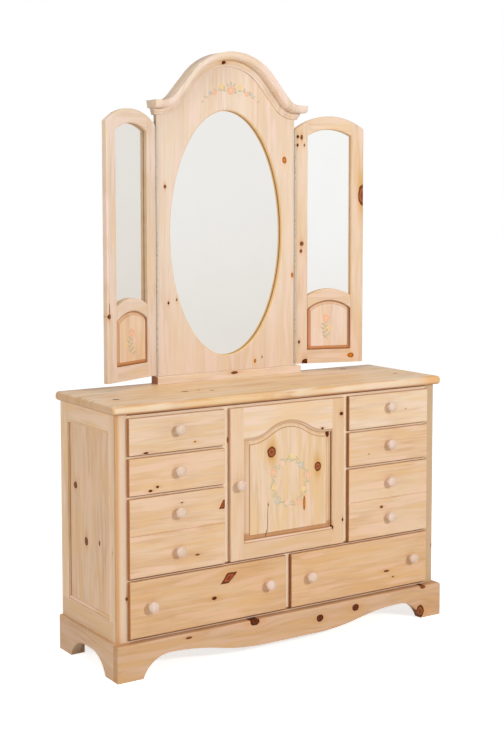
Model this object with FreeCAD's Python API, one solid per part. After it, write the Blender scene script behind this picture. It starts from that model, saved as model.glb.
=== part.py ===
"""Pine chest of drawers with a bonnet-topped mirror in three parts.

Millimetres, +Z up. The front faces -Y, and X runs along the width.
The origin is on the floor, in the middle of the whole object's box.
"""
import FreeCAD, Part
import math
import os
from collections import namedtuple
from FreeCAD import Vector

# ---- Cabinet ----
cabinet_height = 900.0          # floor to the upper face of the top
cabinet_depth = 432.0           # face of the plinth to the back
carcass_width = 1336.0          # over the two side frames
top_thickness = 31.0
top_side_overhang = 18.0        # past the side frames
top_front_overhang = 23.0       # past the face frame
top_nose_radius = 13.0
top_corner_lead = 1.0           # front corners, past the nose's radius

# ---- Plinth ----
plinth_height = 120.0
plinth_board = 32.0             # thickness; the face frame stands right behind it
plinth_side_overhang = 12.0     # past the side frames
plinth_edge_round = 5.0
foot_width = 93.0               # front feet, along the front
side_foot_width = 88.0          # all feet, along the sides
foot_cove_radius = 109.0
apron_clear_height = 71.0       # floor to the apron beside the feet
apron_belly_height = 29.5       # floor to the middle of the apron
apron_belly_half = 110.0        # half of the level stretch in the middle
side_arch_height = 66.0
cleat_size = 30.0
corner_block_size = 20.0

# ---- Carcass boards ----
frame_thickness = 20.0          # face frame and side frames
corner_round = 7.0
back_thickness = 6.0
deck_thickness = 15.0
partition_thickness = 18.0
side_rear_stile = 54.0
side_front_stile = 46.0         # includes the face frame's thickness
side_top_rail = 59.0
side_bottom_rail = 68.0
side_panel_thickness = 6.0
side_panel_recess = 8.0
side_bevel_width = 10.0
groove_depth = 6.0              # tongues of panels in their frames

# ---- Layout of the front, from the top down and from the side in ----
top_reveal = 14.3               # under the top, down to the first fronts
reveal = 10.6                   # between fronts, one above another
bottom_reveal = 11.5            # above the plinth
shallow_height = 121.2
deep_height = 260.5
side_reveal = 42.5              # side frame's face to the fronts
door_width = 477.4              # the two drawer columns share the rest
column_gap = 22.5               # between a column and the door
centre_gap = 21.6               # between the two bottom fronts
overlay = 10.0                  # how far a front laps the face frame
front_thickness = 16.0
front_gap = 0.4                 # closed front to face frame
front_edge_round = 4.0
split_groove_width = 6.0        # false split of the deep fronts
split_groove_depth = 3.0
split_rise = 8.0                # false split above the middle of a deep front

# ---- Drawer boxes ----
box_side_gap = 1.5              # box to the edge of its opening, each side
box_floor_gap = 2.0             # box above the lower edge of its opening
box_head_gap = 10.0             # box below the upper edge of its opening
box_board = 12.0
box_back_gap = 28.4             # box to the cabinet's back
bottom_panel = 4.0
bottom_rise = 10.0              # drawer bottom above the lower edge of the box
runner_height = 15.0
runner_lap = 10.0               # runner under the side of the box
guide_height = 12.0
slide_gap = 0.4

# ---- Knobs ----
knob_projection = 32.0
knob_radius = 18.5
knob_base_radius = 9.5
knob_neck_radius = 7.0
knob_neck_height = 9.0
knob_rim_height = 20.0          # widest ring of the head
knob_shoulder_radius = 15.5     # where the domed face turns in
knob_shoulder_height = 28.0
knob_crown_radius = 8.0         # flat in the middle of the domed face
knob_flats = 20                 # sides that stand for each turned ring
bottom_knob_inset = 76.7
door_knob_inset = 31.9
knob_rise_first = 12.0          # above the middle of a top front
knob_rise_second = 6.5          # above the middle of a second front
knob_rise_deep = 1.3            # above the middle of each half of a deep front
knob_rise_bottom = 6.5          # above the middle of a bottom front

# ---- Door ----
door_stile = 52.0
door_bottom_rail = 55.4
door_shoulder_rail = 106.5      # top edge of the door to the shoulders of the arch
door_shoulder_run = 1.7         # level stretch beside the arch, at the raised field
door_foot_radius = 130.0
door_flank_length = 22.0        # straight stretch between the two curves of the arch
door_flank_angle = 30.0
quirk_depth = 1.2               # small step where the moulded edge of the door starts
sticking_width = 9.0            # moulded edge of a panelled frame
sticking_depth = 5.0
field_inset = 26.0              # moulded edge to the raised field
field_depth = 2.0               # frame's face to the raised field
field_step = 1.5                # upright edge of the field, above its bevel
tongue_depth = 9.0              # frame's face to the panel's tongue
bevel_step = 0.5                # upright edge under the bevel of a panel
tongue_thickness = 4.0
hinge_height = 60.0
hinge_inset = 70.0              # ends of the door to its hinges
hinge_leaf_width = 25.0
door_hinge_knuckles = 3

# ---- Mirror: centre ----
strip_height = 26.7
strip_side = 14.4               # past the edges of the mirror board
strip_projection = 26.5         # in front of the mirror board
strip_edge_round = 3.0
mirror_board = 20.0             # thickness of the board and of the wings
mirror_backer = 2.0
mirror_half = 296.6
mirror_shoulder_height = 975.8  # base strip to the tips of the crown
oval_half_width = 241.0
oval_half_height = 446.0
oval_centre_height = 504.0      # above the base strip
oval_edge_bevel = 4.0
glass_thickness = 4.0
glass_margin = 9.0              # glass behind the edge of its opening
glass_corner_cut = 90.0         # corners cut off the middle glass, each way
backer_lap = 15.0               # thin back past the middle glass
wing_backer_lap = 5.0           # thin back past the glass of a wing
crown_tip_run = 4.6             # level tip of the crown over the mirror board
crown_crest_radius = 230.0
crown_foot_radius = 65.0
crown_flank_angle = 49.5
cap_height = 27.0
cap_side = 28.9                 # past the edges of the mirror board
cap_projection = 48.6
cap_bevel = 8.0
bed_height = 23.0
bed_projection = 15.6
bed_bevel = 8.0
support_width = 60.0
support_thickness = 18.0
support_inset = 86.6            # edge of the mirror board to the middle of a support
support_drop = 300.0            # below the cabinet's top
support_rise = 560.0            # above the cabinet's top

# ---- Mirror: wings ----
wing_width = 275.6
wing_head_gap = 55.8            # crown's cap down to the ends of the arched top
wing_arch_rise = 48.0
wing_lift = 3.0                 # above the base strip
wing_stile = 50.0
wing_top_rail = 50.0
wing_bottom_rail = 51.3
wing_panel_side = 156.0         # height of the panel's sides
wing_panel_rise = 32.5
wing_mid_rail = 44.5            # between the crests of its two arches
wing_sill_rise = 26.0
wing_field_inset = 14.5
wing_edge_bevel = 4.0
wing_sticking = 3.0
wing_left_angle = 24.4          # folded forward, as it stands
wing_right_angle = 16.5

# ---- Hinges ----
barrel_radius = 3.0
hinge_pin_radius = 1.2
pin_gap = 0.05
knuckle_gap = 0.3
leaf_thickness = 1.0
leaf_width = 18.0
piano_knuckles = 3
piano_end_gap = 6.0
pin_lead = 3.6                  # pin in front of the mirror's face
pin_side = 1.7                  # pin beside the edge that carries the leaf
door_barrel_gap = 0.2           # barrel to the door's edge and to the face frame

# ---- Places that follow from the sizes ----
front_relief = plinth_board - front_gap - front_thickness
overall_depth = knob_projection - front_relief + cabinet_depth + support_thickness
knob_tip_y = -overall_depth / 2
face_y = knob_tip_y + knob_projection
plinth_front_y = face_y - front_relief
frame_y = plinth_front_y + plinth_board
frame_back_y = frame_y + frame_thickness
back_y = plinth_front_y + cabinet_depth
panel_y = back_y - back_thickness
carcass_half = carcass_width / 2
inner_half = carcass_half - frame_thickness
carcass_top = cabinet_height - top_thickness
mirror_y = back_y - mirror_backer - mirror_board
strip_top = cabinet_height + strip_height
crown_tip_z = strip_top + mirror_shoulder_height
cap_tip = mirror_half + cap_side
door_pin_gap = barrel_radius + door_barrel_gap

column_outer = carcass_half - side_reveal
door_half = door_width / 2
column_inner = door_half + column_gap
first_top = carcass_top - top_reveal
first_bottom = first_top - shallow_height
second_top = first_bottom - reveal
second_bottom = second_top - shallow_height
deep_top = second_bottom - reveal
deep_bottom = deep_top - deep_height
lower_top = deep_bottom - reveal
lower_bottom = plinth_height + bottom_reveal

Arch = namedtuple("Arch", "spring_x spring_z crest_radius foot_radius slope")
Front = namedtuple("Front", "name left right low high")


# ---- General helpers ----
def box(x, y, z):
    """Block between pairs of coordinates."""
    size = [high - low for low, high in (x, y, z)]
    return Part.makeBox(*size, Vector(x[0], y[0], z[0]))


def save(name, *solids):
    """Write one sub-part."""
    shape = solids[0] if len(solids) == 1 else Part.makeCompound(list(solids))
    shape.exportStep("parts/" + name + ".step")


def line(a, b, y):
    return Part.makeLine(Vector(a[0], y, a[1]), Vector(b[0], y, b[1]))


def polar(centre, radius, angle):
    """Point at an angle in degrees from +X towards +Z."""
    turn = math.radians(angle)
    return centre[0] + radius * math.cos(turn), centre[1] + radius * math.sin(turn)


def arc(centre, radius, start, end, y):
    points = [polar(centre, radius, angle) for angle in (start, (start + end) / 2, end)]
    return Part.Arc(*[Vector(px, y, pz) for px, pz in points]).toShape()


def rise_radius(half_chord, rise):
    """Radius of the arc with this half chord and this rise."""
    return (half_chord ** 2 + rise ** 2) / (2 * rise)


def extrude(edges, depth):
    """Solid from a closed outline in a plane of constant Y, drawn out towards +Y."""
    return Part.Face(Part.Wire(Part.__sortEdges__(edges))).extrude(Vector(0, depth, 0))


def middle(edge):
    return edge.valueAt((edge.FirstParameter + edge.LastParameter) / 2)


def matching(shape, outline):
    """The shape's edges that lie on the edges of an outline."""
    places = [middle(edge) for edge in outline]
    return [edge for edge in shape.Edges if any(middle(edge).distanceToPoint(p) < 0.01 for p in places)]


def bevelled(shape, size, outline):
    return shape.makeChamfer(size, matching(shape, outline))


def fillet_where(shape, radius, test):
    """Round the edges whose middle passes a test."""
    return shape.makeFillet(radius, [edge for edge in shape.Edges if test(edge, middle(edge))])


def mirrored(shape):
    return shape.mirror(Vector(0, 0, 0), Vector(1, 0, 0))


def bonnet(arch, half_width, drop, y):
    """Arched line: level tips, reverse curves, straight flanks and a round crest.

    Lines with a larger drop lie inside it, at that distance all along.
    """
    turn = math.radians(arch.slope)
    radii = arch.crest_radius + arch.foot_radius
    flank = (arch.spring_x - radii * math.sin(turn)) / math.cos(turn)
    crest_z = arch.spring_z + radii * (1 - math.cos(turn)) + flank * math.sin(turn)
    crest = (0, crest_z - arch.crest_radius)
    level = arch.spring_z - drop
    edges = [arc(crest, arch.crest_radius - drop, 90 - arch.slope, 90 + arch.slope, y)]
    for side in (-1, 1):
        foot = (side * arch.spring_x, arch.spring_z + arch.foot_radius)
        foot_end = -90 - side * arch.slope
        edges.append(arc(foot, arch.foot_radius + drop, -90, foot_end, y))
        upper = polar(crest, arch.crest_radius - drop, 90 - side * arch.slope)
        edges.append(line(polar(foot, arch.foot_radius + drop, foot_end), upper, y))
        edges.append(line((side * half_width, level), (foot[0], level), y))
    return edges


def bow(left, right, spring_z, rise, y):
    """Single arc over a span, convex upwards."""
    half = (right - left) / 2
    radius = rise_radius(half, rise)
    spread = math.degrees(math.asin(half / radius))
    centre = ((left + right) / 2, spring_z + rise - radius)
    return arc(centre, radius, 90 - spread, 90 + spread, y)


# ---- Cabinet ----
def make_top():
    half = carcass_half + top_side_overhang
    front = frame_y - top_front_overhang
    slab = box((-half, half), (front, back_y), (carcass_top, cabinet_height))
    slab = fillet_where(slab, top_nose_radius + top_corner_lead, lambda e, m: m.y < front + 1 and abs(m.x) > half - 1
                        and abs(m.z - (carcass_top + cabinet_height) / 2) < 1)
    slab = fillet_where(slab, top_nose_radius, lambda e, m: m.y < back_y - 1
                        and abs(m.z - (carcass_top + cabinet_height) / 2) > 1)
    save("dresser_top", slab)


def cove_foot(tangent, height, sign, y):
    """Cove from the level underside down to the inner edge of a foot."""
    centre = (tangent, height - foot_cove_radius)
    low = math.degrees(math.asin((foot_cove_radius - height) / foot_cove_radius))
    return arc(centre, foot_cove_radius, 90, low if sign > 0 else 180 - low, y)


def cove_reach(height):
    """How far a cove runs sideways until it meets the floor."""
    return math.sqrt(foot_cove_radius ** 2 - (foot_cove_radius - height) ** 2)


def serpentine(half, y):
    """Underside of the front apron: level belly, S-curves and coves to the feet."""
    shoulder = half - foot_width - cove_reach(apron_clear_height)
    run = shoulder - apron_belly_half
    lift = apron_clear_height - apron_belly_height
    radius = (run ** 2 + lift ** 2) / (4 * lift)
    sweep = math.degrees(math.asin(run / 2 / radius))
    edges = [line((-apron_belly_half, apron_belly_height), (apron_belly_half, apron_belly_height), y)]
    for side in (-1, 1):
        belly = (side * apron_belly_half, apron_belly_height + radius)
        crown = (side * shoulder, apron_clear_height - radius)
        edges.append(arc(belly, radius, -90, -90 + side * sweep, y))
        edges.append(arc(crown, radius, 90, 90 + side * sweep, y))
        edges.append(cove_foot(side * shoulder, apron_clear_height, side, y))
        edges.append(line((side * (half - foot_width), 0), (side * half, 0), y))
        edges.append(line((side * half, 0), (side * half, plinth_height), y))
    edges.append(line((-half, plinth_height), (half, plinth_height), y))
    return edges


def side_arch(depth, y):
    """Outline of a side board of the plinth, drawn as if it faced -Y."""
    half = depth / 2
    inner = half - side_foot_width
    shoulder = inner - cove_reach(side_arch_height)
    edges = [line((-shoulder, side_arch_height), (shoulder, side_arch_height), y)]
    for side in (-1, 1):
        edges.append(cove_foot(side * shoulder, side_arch_height, side, y))
        edges.append(line((side * inner, 0), (side * half, 0), y))
        edges.append(line((side * half, 0), (side * half, plinth_height), y))
    edges.append(line((-half, plinth_height), (half, plinth_height), y))
    return edges


def make_plinth():
    half = carcass_half + plinth_side_overhang
    front = extrude(serpentine(half, plinth_front_y), plinth_board)
    front = fillet_where(front, plinth_edge_round, lambda e, m: m.z > plinth_height - 1 and m.y < frame_y - 1)
    save("plinth_front", front)

    inner_front = plinth_front_y + plinth_board
    side_middle = (plinth_front_y + back_y) / 2
    whole = extrude(side_arch(cabinet_depth, 0), plinth_board)
    whole.rotate(Vector(0, 0, 0), Vector(0, 0, 1), 90)
    whole.translate(Vector(half, side_middle, 0))
    right = whole.common(box((0, half), (inner_front, back_y), (0, plinth_height)))
    right = fillet_where(right, plinth_edge_round, lambda e, m: m.z > plinth_height - 1 and m.x > half - 1)
    save("plinth_sides", right, mirrored(right))

    inner = half - plinth_board
    rail = box((-inner, inner), (back_y - plinth_board, back_y), (side_arch_height, plinth_height))
    save("plinth_back", rail)

    cleat_low = plinth_height - cleat_size
    blocks = [box((-inner + corner_block_size, inner - corner_block_size),
                  (inner_front, inner_front + cleat_size), (cleat_low, plinth_height))]
    block_end = plinth_front_y + side_foot_width
    rear_start = back_y - side_foot_width
    for y_span in ((inner_front, block_end), (rear_start, back_y - plinth_board)):
        right_block = box((inner - corner_block_size, inner), y_span, (0, plinth_height))
        blocks += [right_block, mirrored(right_block)]
    save("plinth_blocks", *blocks)


def panelled_side():
    """Right side: two stiles, two rails and a recessed panel with a bevelled surround."""
    y_span = (frame_back_y, back_y)
    opening_y = (frame_y + side_front_stile, back_y - side_rear_stile)
    opening_z = (plinth_height + side_bottom_rail, carcass_top - side_top_rail)
    slab = box((inner_half, carcass_half), y_span, (plinth_height, carcass_top))
    bevel = side_bevel_width
    outer = rectangle_x(opening_y, opening_z, carcass_half)
    inner_y = (opening_y[0] + bevel, opening_y[1] - bevel)
    inner_z = (opening_z[0] + bevel, opening_z[1] - bevel)
    inner = rectangle_x(inner_y, inner_z, carcass_half - side_panel_recess)
    slope = Part.makeLoft([outer, inner], True, True)
    slab = slab.cut(slope).cut(box((inner_half, carcass_half), inner_y, inner_z))
    depth = groove_depth
    panel_front = carcass_half - side_panel_recess
    panel = box((panel_front - side_panel_thickness, panel_front),
                (inner_y[0] - depth, inner_y[1] + depth), (inner_z[0] - depth, inner_z[1] + depth))
    slab = slab.cut(panel)
    cuts = (box((0, carcass_half), (y_span[0], opening_y[0]), (plinth_height, carcass_top)),
            box((0, carcass_half), (opening_y[1], y_span[1]), (plinth_height, carcass_top)),
            box((0, carcass_half), opening_y, (plinth_height, opening_z[0] + bevel)),
            box((0, carcass_half), opening_y, (opening_z[1] - bevel, carcass_top)))
    stiles = [slab.common(cut) for cut in cuts[:2]]
    rails = [slab.common(cut) for cut in cuts[2:]]
    return stiles + rails, panel


def rectangle_x(y_span, z_span, x):
    """Rectangular wire in a plane of constant X."""
    corners = [(y_span[0], z_span[0]), (y_span[1], z_span[0]), (y_span[1], z_span[1]), (y_span[0], z_span[1])]
    points = [Vector(x, cy, cz) for cy, cz in corners]
    return Part.makePolygon(points + points[:1])


def make_sides():
    frame, panel = panelled_side()
    save("side_frame_right", *frame)
    save("side_frame_left", *[mirrored(piece) for piece in frame])
    save("side_panels", panel, mirrored(panel))


def rail_spans():
    """Upper and lower edges of the face frame's rails in a drawer column, from the top down."""
    return [(first_top - overlay, carcass_top), (second_top - overlay, first_bottom + overlay),
            (deep_top - overlay, second_bottom + overlay)]


def deck_rail():
    return lower_top - overlay, deep_bottom + overlay


def make_face_frame():
    y_span = (frame_y, frame_back_y)
    stile_inner = column_outer - overlay
    mullion = (door_half - overlay, column_inner + overlay)
    foot_rail = (plinth_height, lower_bottom + overlay)
    middle_low, middle_high = deck_rail()
    stile = box((stile_inner, carcass_half), y_span, (plinth_height, carcass_top))
    stile = fillet_where(stile, corner_round, lambda e, m: m.x > carcass_half - 1 and m.y < frame_y + 1
                         and abs(m.z - (plinth_height + carcass_top) / 2) < 1)
    top_rail = rail_spans()[0]
    upright = box(mullion, y_span, (middle_high, top_rail[0])).cut(door_hinge_mortises())
    far_upright = box((-mullion[1], -mullion[0]), y_span, (middle_high, top_rail[0]))
    solids = [stile, mirrored(stile), upright, far_upright]
    for z_span in (top_rail, (middle_low, middle_high), foot_rail):
        solids.append(box((-stile_inner, stile_inner), y_span, z_span))
    for z_span in rail_spans()[1:]:
        rail = box((mullion[1], stile_inner), y_span, z_span)
        solids += [rail, mirrored(rail)]
    half_gap = centre_gap / 2 + overlay
    solids.append(box((-half_gap, half_gap), y_span, (foot_rail[1], middle_low)))
    save("face_frame", *solids)


def partition_faces():
    centre = (door_half + column_inner) / 2
    return centre - partition_thickness / 2, centre + partition_thickness / 2


def make_carcass():
    low, high = deck_rail()
    deck_top = (low + high + deck_thickness) / 2
    y_span = (frame_back_y, panel_y)
    save("decks", *[box((-inner_half, inner_half), y_span, (upper - deck_thickness, upper))
                    for upper in (deck_top, plinth_height + deck_thickness)])
    right = box(partition_faces(), y_span, (deck_top, carcass_top))
    save("partitions", right, mirrored(right))
    save("back_panel", box((-inner_half, inner_half), (panel_y, back_y), (plinth_height, carcass_top)))
    return deck_top


# ---- Drawers ----
def fronts():
    """All eight drawer fronts."""
    found = []
    columns = (("left", -column_outer, -column_inner), ("right", column_inner, column_outer))
    for side, left, right in columns:
        found.append(Front(side + "_top", left, right, first_bottom, first_top))
        found.append(Front(side + "_second", left, right, second_bottom, second_top))
        found.append(Front(side + "_deep", left, right, deep_bottom, deep_top))
    found.append(Front("bottom_left", -column_outer, -centre_gap / 2, lower_bottom, lower_top))
    found.append(Front("bottom_right", centre_gap / 2, column_outer, lower_bottom, lower_top))
    return found


def split_height():
    """Where the false split of a deep front runs."""
    return (deep_top + deep_bottom) / 2 + split_rise


def knob_places(front):
    """Where the knobs of a front stand, as (x, z)."""
    centre_x = (front.left + front.right) / 2
    centre_z = (front.low + front.high) / 2
    if front.name.startswith("bottom"):
        height = centre_z + knob_rise_bottom
        return [(front.left + bottom_knob_inset, height), (front.right - bottom_knob_inset, height)]
    if front.name.endswith("deep"):
        upper = (front.high + split_height()) / 2 + knob_rise_deep
        lower = (front.low + split_height()) / 2 + knob_rise_deep
        return [(centre_x, upper), (centre_x, lower)]
    rise = knob_rise_first if front.name.endswith("top") else knob_rise_second
    return [(centre_x, centre_z + rise)]


def knob(x, z):
    """Turned mushroom knob on the face of a front, pointing to -Y."""
    profile = [(knob_base_radius, 0), (knob_neck_radius, knob_neck_height), (knob_radius, knob_rim_height),
               (knob_shoulder_radius, knob_shoulder_height), (knob_crown_radius, knob_projection)]
    rings = []
    for radius, height in profile:
        spots = [polar((x, z), radius, 360 * index / knob_flats) for index in range(knob_flats)]
        rings.append([Vector(px, face_y - height, pz) for px, pz in spots])
    outlines = [rings[0], rings[-1]]
    for low, high in zip(rings, rings[1:]):
        for index in range(knob_flats):
            outlines.append([low[index - 1], low[index], high[index], high[index - 1]])
    faces = [Part.Face(Part.makePolygon(points + points[:1])) for points in outlines]
    return Part.Solid(Part.Shell(faces))


def make_front(front):
    x_span = (front.left, front.right)
    slab = box(x_span, (face_y, face_y + front_thickness), (front.low, front.high))
    slab = fillet_where(slab, front_edge_round, lambda e, m: m.y < face_y + 0.5)
    if front.name.endswith("deep"):
        half = split_groove_width / 2
        height = split_height()
        corners = [Vector(front.left, face_y, height - half), Vector(front.left, face_y, height + half),
                   Vector(front.left, face_y + split_groove_depth, height)]
        groove = Part.Face(Part.makePolygon(corners + corners[:1]))
        slab = slab.cut(groove.extrude(Vector(front.right - front.left, 0, 0)))
    return slab


def box_space(front):
    """Outside of a drawer box, as spans of x and z."""
    side = overlay + box_side_gap
    return ((front.left + side, front.right - side),
            (front.low + overlay + box_floor_gap, front.high - overlay - box_head_gap))


def make_box(front):
    """Two sides, a front, a back and a bottom let into grooves."""
    (left, right), (low, high) = box_space(front)
    start = face_y + front_thickness
    end = panel_y - box_back_gap
    board = box_board
    ends = (left + board, right - board)
    boards = [box((left, left + board), (start, end), (low, high)),
              box((right - board, right), (start, end), (low, high)),
              box(ends, (start, start + board), (low, high)),
              box(ends, (end - board, end), (low, high))]
    tongue = board / 2
    floor = box((left + tongue, right - tongue), (start + tongue, end - tongue),
                (low + bottom_rise, low + bottom_rise + bottom_panel))
    return [piece.cut(floor) for piece in boards] + [floor]


def make_drawers():
    for front in fronts():
        save("drawer_" + front.name + "_front", make_front(front))
        save("drawer_" + front.name + "_box", *make_box(front))
        save("drawer_" + front.name + "_knob", *[knob(x, z) for x, z in knob_places(front)])


def runner(wall_x, edge_x, box_low, base_z):
    """Runner from a wall of the carcass to just under the side of a box, with its guide."""
    y_span = (frame_back_y, panel_y)
    toward = 1 if edge_x > wall_x else -1
    lap_x = edge_x + toward * runner_lap
    guide_x = edge_x - toward * slide_gap
    top = box_low - slide_gap
    flat = box(sorted((wall_x, lap_x)), y_span, (base_z, top))
    guide = box(sorted((wall_x, guide_x)), y_span, (top, top + guide_height))
    return flat.fuse(guide).removeSplitter()


def make_runners(deck_top):
    inner_wall = partition_faces()[1]
    solids = []
    for front in fronts():
        (left, right), (low, high) = box_space(front)
        if front.name.startswith("right"):
            floor = deck_top if front.name.endswith("deep") else low - slide_gap - runner_height
            pair = [runner(inner_wall, left, low, floor), runner(inner_half, right, low, floor)]
            solids += pair + [mirrored(piece) for piece in pair]
        if front.name == "bottom_right":
            floor = plinth_height + deck_thickness
            outer = runner(inner_half, right, low, floor)
            centre = runner(0, left, low, floor)
            solids += [outer, mirrored(outer), centre.fuse(mirrored(centre)).removeSplitter()]
    save("drawer_runners", *solids)


# ---- Panelled frames ----
def door_arch():
    turn = math.radians(door_flank_angle)
    spring_x = door_half - door_stile - field_inset - door_shoulder_run
    radii = (spring_x - door_flank_length * math.cos(turn)) / math.sin(turn)
    spring_z = first_top - door_shoulder_rail
    return Arch(spring_x, spring_z, radii - door_foot_radius, door_foot_radius, door_flank_angle)


def door_outline(inset, y):
    """Outline inside the door's moulded edge, at an even distance from it."""
    half = door_half - door_stile - inset
    low = deep_bottom + door_bottom_rail + inset
    arch = door_arch()
    level = arch.spring_z - inset
    edges = bonnet(arch, half, inset, y)
    edges += [line((-half, level), (-half, low), y), line((-half, low), (half, low), y)]
    edges.append(line((half, low), (half, level), y))
    return edges


def wire(edges):
    return Part.Wire(Part.__sortEdges__(edges))


def raised_panel(outline, surround, field, face):
    """Panel with a raised field: outline(inset, y) gives its outlines.

    Its tongue lies in the frame's groove, and a bevel runs from the surround up to the field,
    which stands a small step above the bevel.
    """
    thin = face + tongue_depth
    bevel_top = face + field_depth + field_step
    rise = thin - bevel_top
    tongue = extrude(outline(surround - groove_depth, thin), tongue_thickness)
    raised = extrude(outline(surround, bevel_top), rise)
    edges = matching(raised, outline(surround, bevel_top))
    raised = raised.makeChamfer(rise - bevel_step, field - surround, edges)
    plate = extrude(outline(field, face + field_depth), field_step + rise)
    return tongue.fuse(raised).fuse(plate).removeSplitter()


def make_door():
    back = face_y + front_thickness
    slab = box((-door_half, door_half), (face_y, back), (deep_bottom, first_top))
    slab = fillet_where(slab, front_edge_round, lambda e, m: m.y < face_y + 0.5)
    slab = slab.cut(extrude(door_outline(0, face_y), quirk_depth))
    slab = slab.cut(extrude(door_outline(sticking_width, face_y), front_thickness))
    slab = bevelled(slab, sticking_depth, door_outline(sticking_width, face_y + quirk_depth))
    panel = raised_panel(door_outline, sticking_width, field_inset, face_y)
    slab = slab.cut(panel)
    inner = door_half - door_stile
    low_rail = deep_bottom + door_bottom_rail + sticking_width
    high_rail = door_arch().spring_z - sticking_width
    depth = (face_y, back)
    whole = (deep_bottom, first_top)
    pieces = [slab.common(box(x_span, depth, z_span)) for x_span, z_span in
              (((-door_half, -inner), whole), ((inner, door_half), whole),
               ((-inner, inner), (deep_bottom, low_rail)), ((-inner, inner), (high_rail, first_top)))]
    save("door_frame", *pieces)
    save("door_panel", panel)
    save("door_knob", knob(-door_half + door_knob_inset, (first_top + deep_bottom) / 2))


# ---- Hinges ----
def hinge_leaf(plates, height, count, first):
    """Leaf with every second knuckle, round a pin that stands on the origin.

    The leaf with the first and last knuckles holds the pin, and the other one turns on it.
    """
    leaf = plates[0]
    for plate in plates[1:]:
        leaf = leaf.fuse(plate)
    pitch = height / count
    clear = barrel_radius + knuckle_gap
    for index in range(count):
        low = index * pitch
        if index % 2 == first:
            low += knuckle_gap / 2
            leaf = leaf.fuse(Part.makeCylinder(barrel_radius, pitch - knuckle_gap, Vector(0, 0, low)))
        else:
            leaf = leaf.cut(box((-clear, clear), (-clear, clear), (low, low + pitch)))
    if first == 0:
        return leaf.fuse(Part.makeCylinder(hinge_pin_radius, height)).removeSplitter()
    return leaf.cut(Part.makeCylinder(hinge_pin_radius + pin_gap, height)).removeSplitter()


def door_pin():
    return door_half + door_pin_gap, frame_y - door_pin_gap


def door_hinge_heights():
    return deep_bottom + hinge_inset, first_top - hinge_inset - hinge_height


def frame_leaf_plates():
    """Plate let into the face frame, and the tail that joins it to the knuckles."""
    reach = barrel_radius
    plate = box((-hinge_leaf_width, reach), (door_pin_gap, door_pin_gap + leaf_thickness), (0, hinge_height))
    tail = box((-reach, reach), (0, door_pin_gap + leaf_thickness), (0, hinge_height))
    return [plate, tail]


def door_hinge_mortises():
    """Space that the plates take up in the face frame."""
    x, y = door_pin()
    pockets = []
    for height in door_hinge_heights():
        pocket = frame_leaf_plates()[0]
        pocket.translate(Vector(x, y, height))
        pockets.append(pocket)
    return Part.makeCompound(pockets)


def make_door_hinges():
    x, y = door_pin()
    edge = -door_pin_gap
    door_plate = box((edge, edge + leaf_thickness), (face_y + front_edge_round - y, 0), (0, hinge_height))
    fixed = hinge_leaf(frame_leaf_plates(), hinge_height, door_hinge_knuckles, 0)
    moving = hinge_leaf([door_plate], hinge_height, door_hinge_knuckles, 1)
    fixed_solids = []
    moving_solids = []
    for height in door_hinge_heights():
        place = Vector(x, y, height)
        fixed_solids.append(fixed.translated(place))
        moving_solids.append(moving.translated(place))
    save("door_hinge_fixed", *fixed_solids)
    save("door_hinge_moving", *moving_solids)


# ---- Mirror: centre ----
def crown_arch():
    spring_x = mirror_half - crown_tip_run
    return Arch(spring_x, crown_tip_z, crown_crest_radius, crown_foot_radius, crown_flank_angle)


def crown_band(half_width, upper, lower, y, depth):
    """Solid between two arched lines."""
    arch = crown_arch()
    edges = bonnet(arch, half_width, upper, y) + bonnet(arch, half_width, lower, y)
    for side in (-1, 1):
        end_x = side * half_width
        edges.append(line((end_x, arch.spring_z - upper), (end_x, arch.spring_z - lower), y))
    return extrude(edges, depth)


def board_outline(half_width, drop, low, y):
    arch = crown_arch()
    level = arch.spring_z - drop
    edges = bonnet(arch, half_width, drop, y)
    edges.append(line((-half_width, level), (-half_width, low), y))
    edges.append(line((-half_width, low), (half_width, low), y))
    edges.append(line((half_width, low), (half_width, level), y))
    return edges


def oval(grow, y):
    """Upright ellipse round the mirror, as an edge."""
    centre = Vector(0, y, strip_top + oval_centre_height)
    tall = centre + Vector(0, 0, oval_half_height + grow)
    wide = centre + Vector(oval_half_width + grow, 0, 0)
    return Part.Ellipse(tall, wide, centre).toShape()


def cut_cornered(grow, y, depth):
    """Upright plate round the oval, with its corners cut off."""
    half_width = oval_half_width + grow
    half_height = oval_half_height + grow
    middle_z = strip_top + oval_centre_height
    near_x = half_width - glass_corner_cut
    near_z = half_height - glass_corner_cut
    corners = [(half_width, near_z), (near_x, half_height), (-near_x, half_height), (-half_width, near_z),
               (-half_width, -near_z), (-near_x, -half_height), (near_x, -half_height), (half_width, -near_z)]
    points = [Vector(px, y, middle_z + pz) for px, pz in corners]
    return Part.Face(Part.makePolygon(points + points[:1])).extrude(Vector(0, depth, 0))


def make_mirror_board():
    back = mirror_y + mirror_board
    board = extrude(board_outline(mirror_half, cap_height, strip_top, mirror_y), mirror_board)
    board = board.cut(extrude([oval(0, mirror_y)], mirror_board))
    board = bevelled(board, oval_edge_bevel, [oval(0, mirror_y)])
    glass = cut_cornered(glass_margin, back - glass_thickness, glass_thickness)
    save("mirror_board", board.cut(glass))
    save("mirror_glass", glass)
    save("mirror_backer", cut_cornered(glass_margin + backer_lap, back, mirror_backer))


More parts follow.
